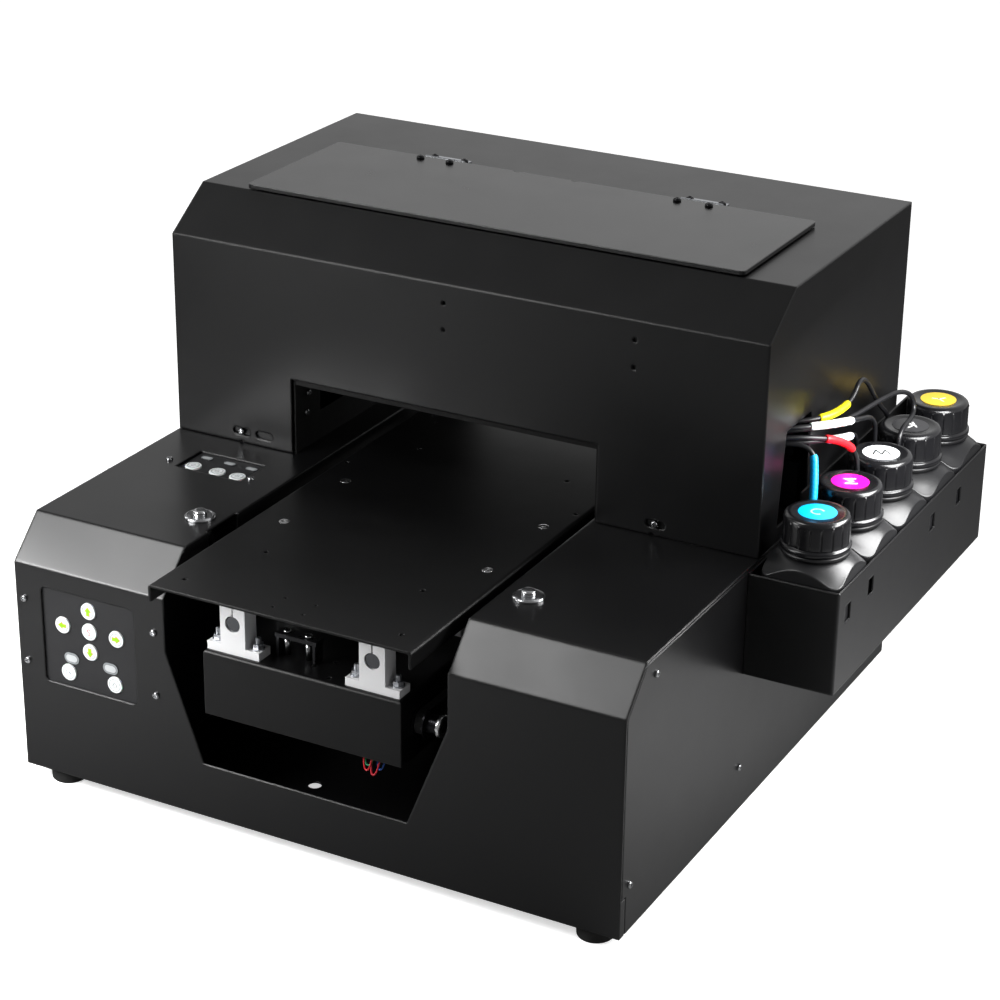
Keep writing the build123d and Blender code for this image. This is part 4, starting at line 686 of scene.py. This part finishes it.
# ---- Table screws ----
# Four countersunk steel screws fix the printing table to the bars under it. Their bright
# heads stand a little proud of the coat.
# bright steel: nearly white, with fine turning marks
bright_steel = surface("bright_steel", "e6e7e8", "f6f6f7", 0.24, metallic=1.0, patch=4, grain=0.4, bump=0.01)
TABLE_TOP = 201.0
TABLE_HEAD = [(0, -0.3), (3.9, -0.3), (3.9, -0.05), (3.7, 0.04), (2.4, 0.08), (1.3, 0.09), (1.0, -0.05),
              (0, -0.08)]
for i, (x, y) in enumerate(((160.5, 103), (160.5, 186), (324, 103), (324, 186))):
    head = lathed(f"table_screw_{i}", TABLE_HEAD, at(x, y, TABLE_TOP), bright_steel, 40)
    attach(head, "table")

# ---- Drive pulley washer ----
# A turned steel washer with rounded rims ends the hub of the table's drive pulley, and turns
# with it.
WASHER = [(4.2, 0), (7.7, 0), (8.0, 0.4), (8.0, 2.6), (7.5, 3.3), (5.2, 3.5), (4.2, 3.3), (4.2, 0)]
WASHER_SEAT = 0.0032
hub_low, hub_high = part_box("table_drive_pulley")
washer = lathed("drive_pulley_washer", WASHER, Vector((0, 0, 0)), bright_steel, 48)
washer_place = Matrix.Translation((hub_high.x - WASHER_SEAT, (hub_low.y + hub_high.y) / 2,
                                   (hub_low.z + hub_high.z) / 2))
washer.data.transform(washer_place @ Matrix.Rotation(math.pi / 2, 4, "Y"))
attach(washer, "table_drive_pulley")

# ---- Sensor stand-offs ----
# The sensor bar stands on two turned stand-offs on the lift beam, each with a pan-head screw
# on top. Both are nickel plated.
STANDOFF = [(0, 0), (2.3, 0), (2.3, 13.4), (0, 13.4)]
BAR_HEAD = [(0, 0), (2.9, 0), (2.95, 1.2), (2.5, 2.0), (1.6, 2.4), (1.3, 2.4), (1.1, 1.2), (0, 1.1)]
BAR_TOP, STANDOFF_Y = 163.0, 20
beam_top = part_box("lift_beam")[1].z * 1000
for i, x in enumerate((215, 232)):
    for kind, profile, height in (("standoff", STANDOFF, beam_top + 0.2), ("bar_screw", BAR_HEAD, BAR_TOP)):
        piece = lathed(f"sensor_{kind}_{i}", profile, at(x, STANDOFF_Y, height), nickel, 32)
        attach(piece, "lift")

# ---- Push buttons ----
# Stainless push buttons in the decks: a turned flange with a rounded rim and a recess, and
# a domed plunger that stands in it. Turned and polished.
# polished stainless: bright and a little warm, with lathe marks too fine to see singly
polished = surface("polished_stainless", "b4b5b7", "d6d7d9", 0.19, metallic=1.0, patch=12, grain=0.3,
                   bump=0.004)
dress(polished, "button_bezels")
DECK_TOP = 0.203
BEZEL = [(5.6, -2), (5.6, 1.4), (5.9, 1.75), (7.6, 1.75), (7.95, 1.5), (8.3, 1.6), (8.9, 2.25), (9.5, 2.45),
         (10.1, 2.3), (10.7, 1.75), (11.1, 1.0), (11.2, 0.4), (11.2, 0.05), (9.6, 0.05), (9.6, -2), (5.6, -2)]
PLUNGER = [(0, -8), (4.9, -8), (4.9, 4.6), (4.75, 5.2), (4.3, 5.7), (3.6, 5.95), (2.2, 6.0), (0, 6.0)]
for button in ("left_push_button", "right_push_button"):
    low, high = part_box(button)
    centre = Vector(((low.x + high.x) / 2, (low.y + high.y) / 2, DECK_TOP))
    bezel = lathed(button + "_bezel", BEZEL, centre, polished)
    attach(bezel, "chassis")
    plunger = lathed(button + "_plunger", PLUNGER, centre, polished, 48)
    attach(plunger, button)
    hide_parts(button)

# ---- Ink bottles ----
# Five 250 ml square bottles, blow-moulded in black HDPE: the cone of the shoulder meets the
# flat sides in an arch on each side. The skin is satin, with a faint grain from the mould.
# blow-moulded HDPE: satin, waxy black, with the mould's 0.8 mm grain
hdpe = surface("blow_moulded_hdpe", "0c0c0d", "121214", 0.36, patch=22, grain=0.8, bump=0.02, rough_spread=0.03)
tray_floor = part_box("ink_bottles")[0].z * 1000
BOTTLE_HALF, BOTTLE_CORNER = 29.6, 9.5
NECK_R, SHOULDER_TOP, ARCH_TOP, ARCH_FALL = 20.6, 213.6, 209.8, 1.0


def square_radius(angle, half, corner):
    """How far the rounded square's outline is from its middle in a direction."""
    c, s = abs(math.cos(angle)), abs(math.sin(angle))
    flat = half / max(c, s)
    x, y = flat * c, flat * s
    if min(x, y) <= half - corner:
        return flat
    k = half - corner
    b = k * (c + s)
    return b + math.sqrt(max(b * b - 2 * k * k + corner * corner, 0))


SIDE_HEIGHT, BOTTLE_SIDES = 62, 128


def bottle_body(name, centre):
    """Rows of points from the middle of the foot, up the sides, over the arch and up to the neck."""
    sides = BOTTLE_SIDES
    rows = []
    for inset, height in ((6.0, 0.0), (2.2, 0.25), (0.7, 1.2), (0.15, 2.6)):
        rows.append(("wall", inset, tray_floor + height))
    for share in (0.25, 0.5, 0.75, 0.9):
        rows.append(("wall", 0.0, tray_floor + share * SIDE_HEIGHT))
    for share in (-3.2, -1.6, -0.7, 0.0, 0.6, 1.3, 2.4):
        rows.append(("arch", share, 0))
    for share in (0.25, 0.5, 0.75, 0.92, 1.0):
        rows.append(("cone", share, 0))
    build = bmesh.new()
    rings = []
    for kind, first, height in rows:
        ring = []
        for k in range(sides):
            angle = 2 * math.pi * (k + 0.5) / sides
            outline = square_radius(angle, BOTTLE_HALF, BOTTLE_CORNER)
            edge_z = ARCH_TOP - ARCH_FALL * (outline - BOTTLE_HALF)
            if kind == "wall":
                r, z = square_radius(angle, BOTTLE_HALF - first, BOTTLE_CORNER), height
                z = min(z, edge_z - 4.2)
            elif kind == "arch":
                # a 3 mm round between the side and the cone
                bend = max(first, 0)
                r = outline - 0.55 * bend - (0.45 if first >= 0 else 0.12 * (3.2 + first) / 3.2)
                z = edge_z + (first * 0.95 if first < 0 else 0.42 * bend) - 0.55
            else:
                r = outline - 1.8 + (NECK_R - outline + 1.8) * first
                z = edge_z + 0.5 + (SHOULDER_TOP - edge_z - 0.5) * (first + 0.10 * math.sin(math.pi * first))
            ring.append(build.verts.new(centre + Vector((r * math.cos(angle), r * math.sin(angle), z)) / 1000))
        rings.append(ring)
    for low, high in zip(rings, rings[1:]):
        for k in range(sides):
            build.faces.new((low[k], low[(k + 1) % sides], high[(k + 1) % sides], high[k])).smooth = True
    build.faces.new(reversed(rings[0]))
    build.faces.new(rings[-1])
    bmesh.ops.recalc_face_normals(build, faces=build.faces)
    mesh = bpy.data.meshes.new(name)
    build.to_mesh(mesh)
    build.free()
    mesh.materials.append(hdpe)
    return keep(bpy.data.objects.new(name, mesh))


NECK = [(0, 212), (20.4, 212), (20.4, 213.4), (23.2, 213.7), (24.1, 214.3), (24.1, 216.0), (23.6, 216.6),
        (20.2, 216.8), (18.6, 217.2), (18.6, 237.8), (0, 237.8)]
# ink, its disc's colour, its letter's colour, the letter, and how far the cap is turned
INKS = [("cyan", "00aeea", "ffffff", "C", -4), ("magenta", "f00e9b", "ffffff", "M", 118),
        ("white", "f6fafd", "0a0a0c", "W", 208), ("black", "1d1d20", "ffffff", "K", 218),
        ("yellow", "ffd41f", "fff8dc", "Y", -80)]
for ink, disc_colour, letter_colour, letter, letter_turn in INKS:
    low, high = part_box(ink + "_cap")
    axis = Vector(((low.x + high.x) / 2, (low.y + high.y) / 2, 0))
    body = bottle_body("ink_bottle_" + ink, axis)
    neck = lathed("ink_bottle_neck_" + ink, NECK, axis, hdpe)
    for piece in (body, neck):
        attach(piece, "chassis")
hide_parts("ink_bottles")

# ---- Bottle caps ----
# Screw caps moulded in glossy black polypropylene: a plain skirt ring, then 18 flutes that
# end in a small scoop under the rounded rim. A printed vinyl disc on top names the ink.
# glossy polypropylene: deep black, with a slight waviness of 0.9 mm from the mould
glossy_pp = surface("glossy_polypropylene", "08080a", "101012", 0.22, patch=18, grain=0.9, bump=0.008)
FLUTES, FLUTE_DEPTH = 18, 0.62
CAP_PROFILE = [(0, 239.0), (19.1, 239.0), (19.1, 217.4), (24.1, 217.25), (24.7, 217.8), (24.7, 220.2), (24.2, 221.0),
               (22.9, 221.2), (22.8, 221.6), (23.2, 222.0), (23.3, 222.4), (23.3, 225), (23.25, 229), (23.2, 233),
               (23.15, 236.2), (23.12, 237.4), (23.08, 238.2), (23.0, 238.9), (22.8, 239.8), (22.3, 240.8),
               (21.4, 241.6), (20.2, 241.95), (18.0, 242.0), (17.6, 241.8), (0, 241.8)]
# rows of the profile with a small nub in each flute, and how deep the flute is cut at each row
NUB_ROWS, NUB_RISE = (15, 16), 0.35
FLUTED_ROWS = {10: 0.55, 11: 1, 12: 1, 13: 1, 14: 1, 15: 1.25, 16: 1.1, 17: 0.35}


def flute(index, angle):
    """How far the cap's wall moves out at a row of the profile and an angle."""
    if index not in FLUTED_ROWS:
        return 0.0
    phase = (angle * FLUTES / (2 * math.pi)) % 1.0
    across = min(phase, 1 - phase) / 0.10
    if index in NUB_ROWS and across < 0.6:
        return NUB_RISE
    return -FLUTE_DEPTH * FLUTED_ROWS[index] * max(0.0, 1 - across * across) ** 0.8


LETTERS = {
    "C": stroke(arc(0, 0, 4.3, 45, 315, 18), 1.5),
    "M": stroke([(-4.2, -4.2), (-4.2, 4.2), (0, -2.1), (4.2, 4.2), (4.2, -4.2)], 1.5),
    "W": stroke([(-6.6, 4.4), (-3.3, -4.2), (0, 4.0), (3.3, -4.2), (6.6, 4.4)], 1.3),
    "K": stroke([(-3.0, -4.6), (-3.0, 4.6)], 1.3) + stroke([(3.2, 4.6), (-2.7, 0), (3.2, -4.6)], 1.3),
    "Y": stroke([(-3.8, 4.4), (0, 0.3), (3.8, 4.4)], 1.4) + stroke([(0, 0.3), (0, -4.6)], 1.4)}
CAP_TOP_Z, DISC_T = 0.2418, Vector((0, 0, 0.00012))
for ink, disc_colour, letter_colour, letter, letter_turn in INKS:
    cap_node = ink + "_cap"
    low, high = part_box(cap_node)
    axis = Vector(((low.x + high.x) / 2, (low.y + high.y) / 2, 0))
    cap = lathed(cap_node + "_fluted", CAP_PROFILE, axis, glossy_pp, FLUTES * 20, flute)
    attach(cap, cap_node)
    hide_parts(cap_node)
    top = axis + Vector((0, 0, CAP_TOP_Z))
    printed("label_" + ink, ring_quads(13.4, 0.01, 64), top, FRONT_ACROSS, DECK_UP, disc_colour, cap_node,
            0.3)
    printed("letter_" + ink, turned(LETTERS[letter], letter_turn), top + DISC_T, FRONT_ACROSS, DECK_UP,
            letter_colour, cap_node, 0.3)

# ---- Last update of the scene ----
bpy.context.view_layer.update()
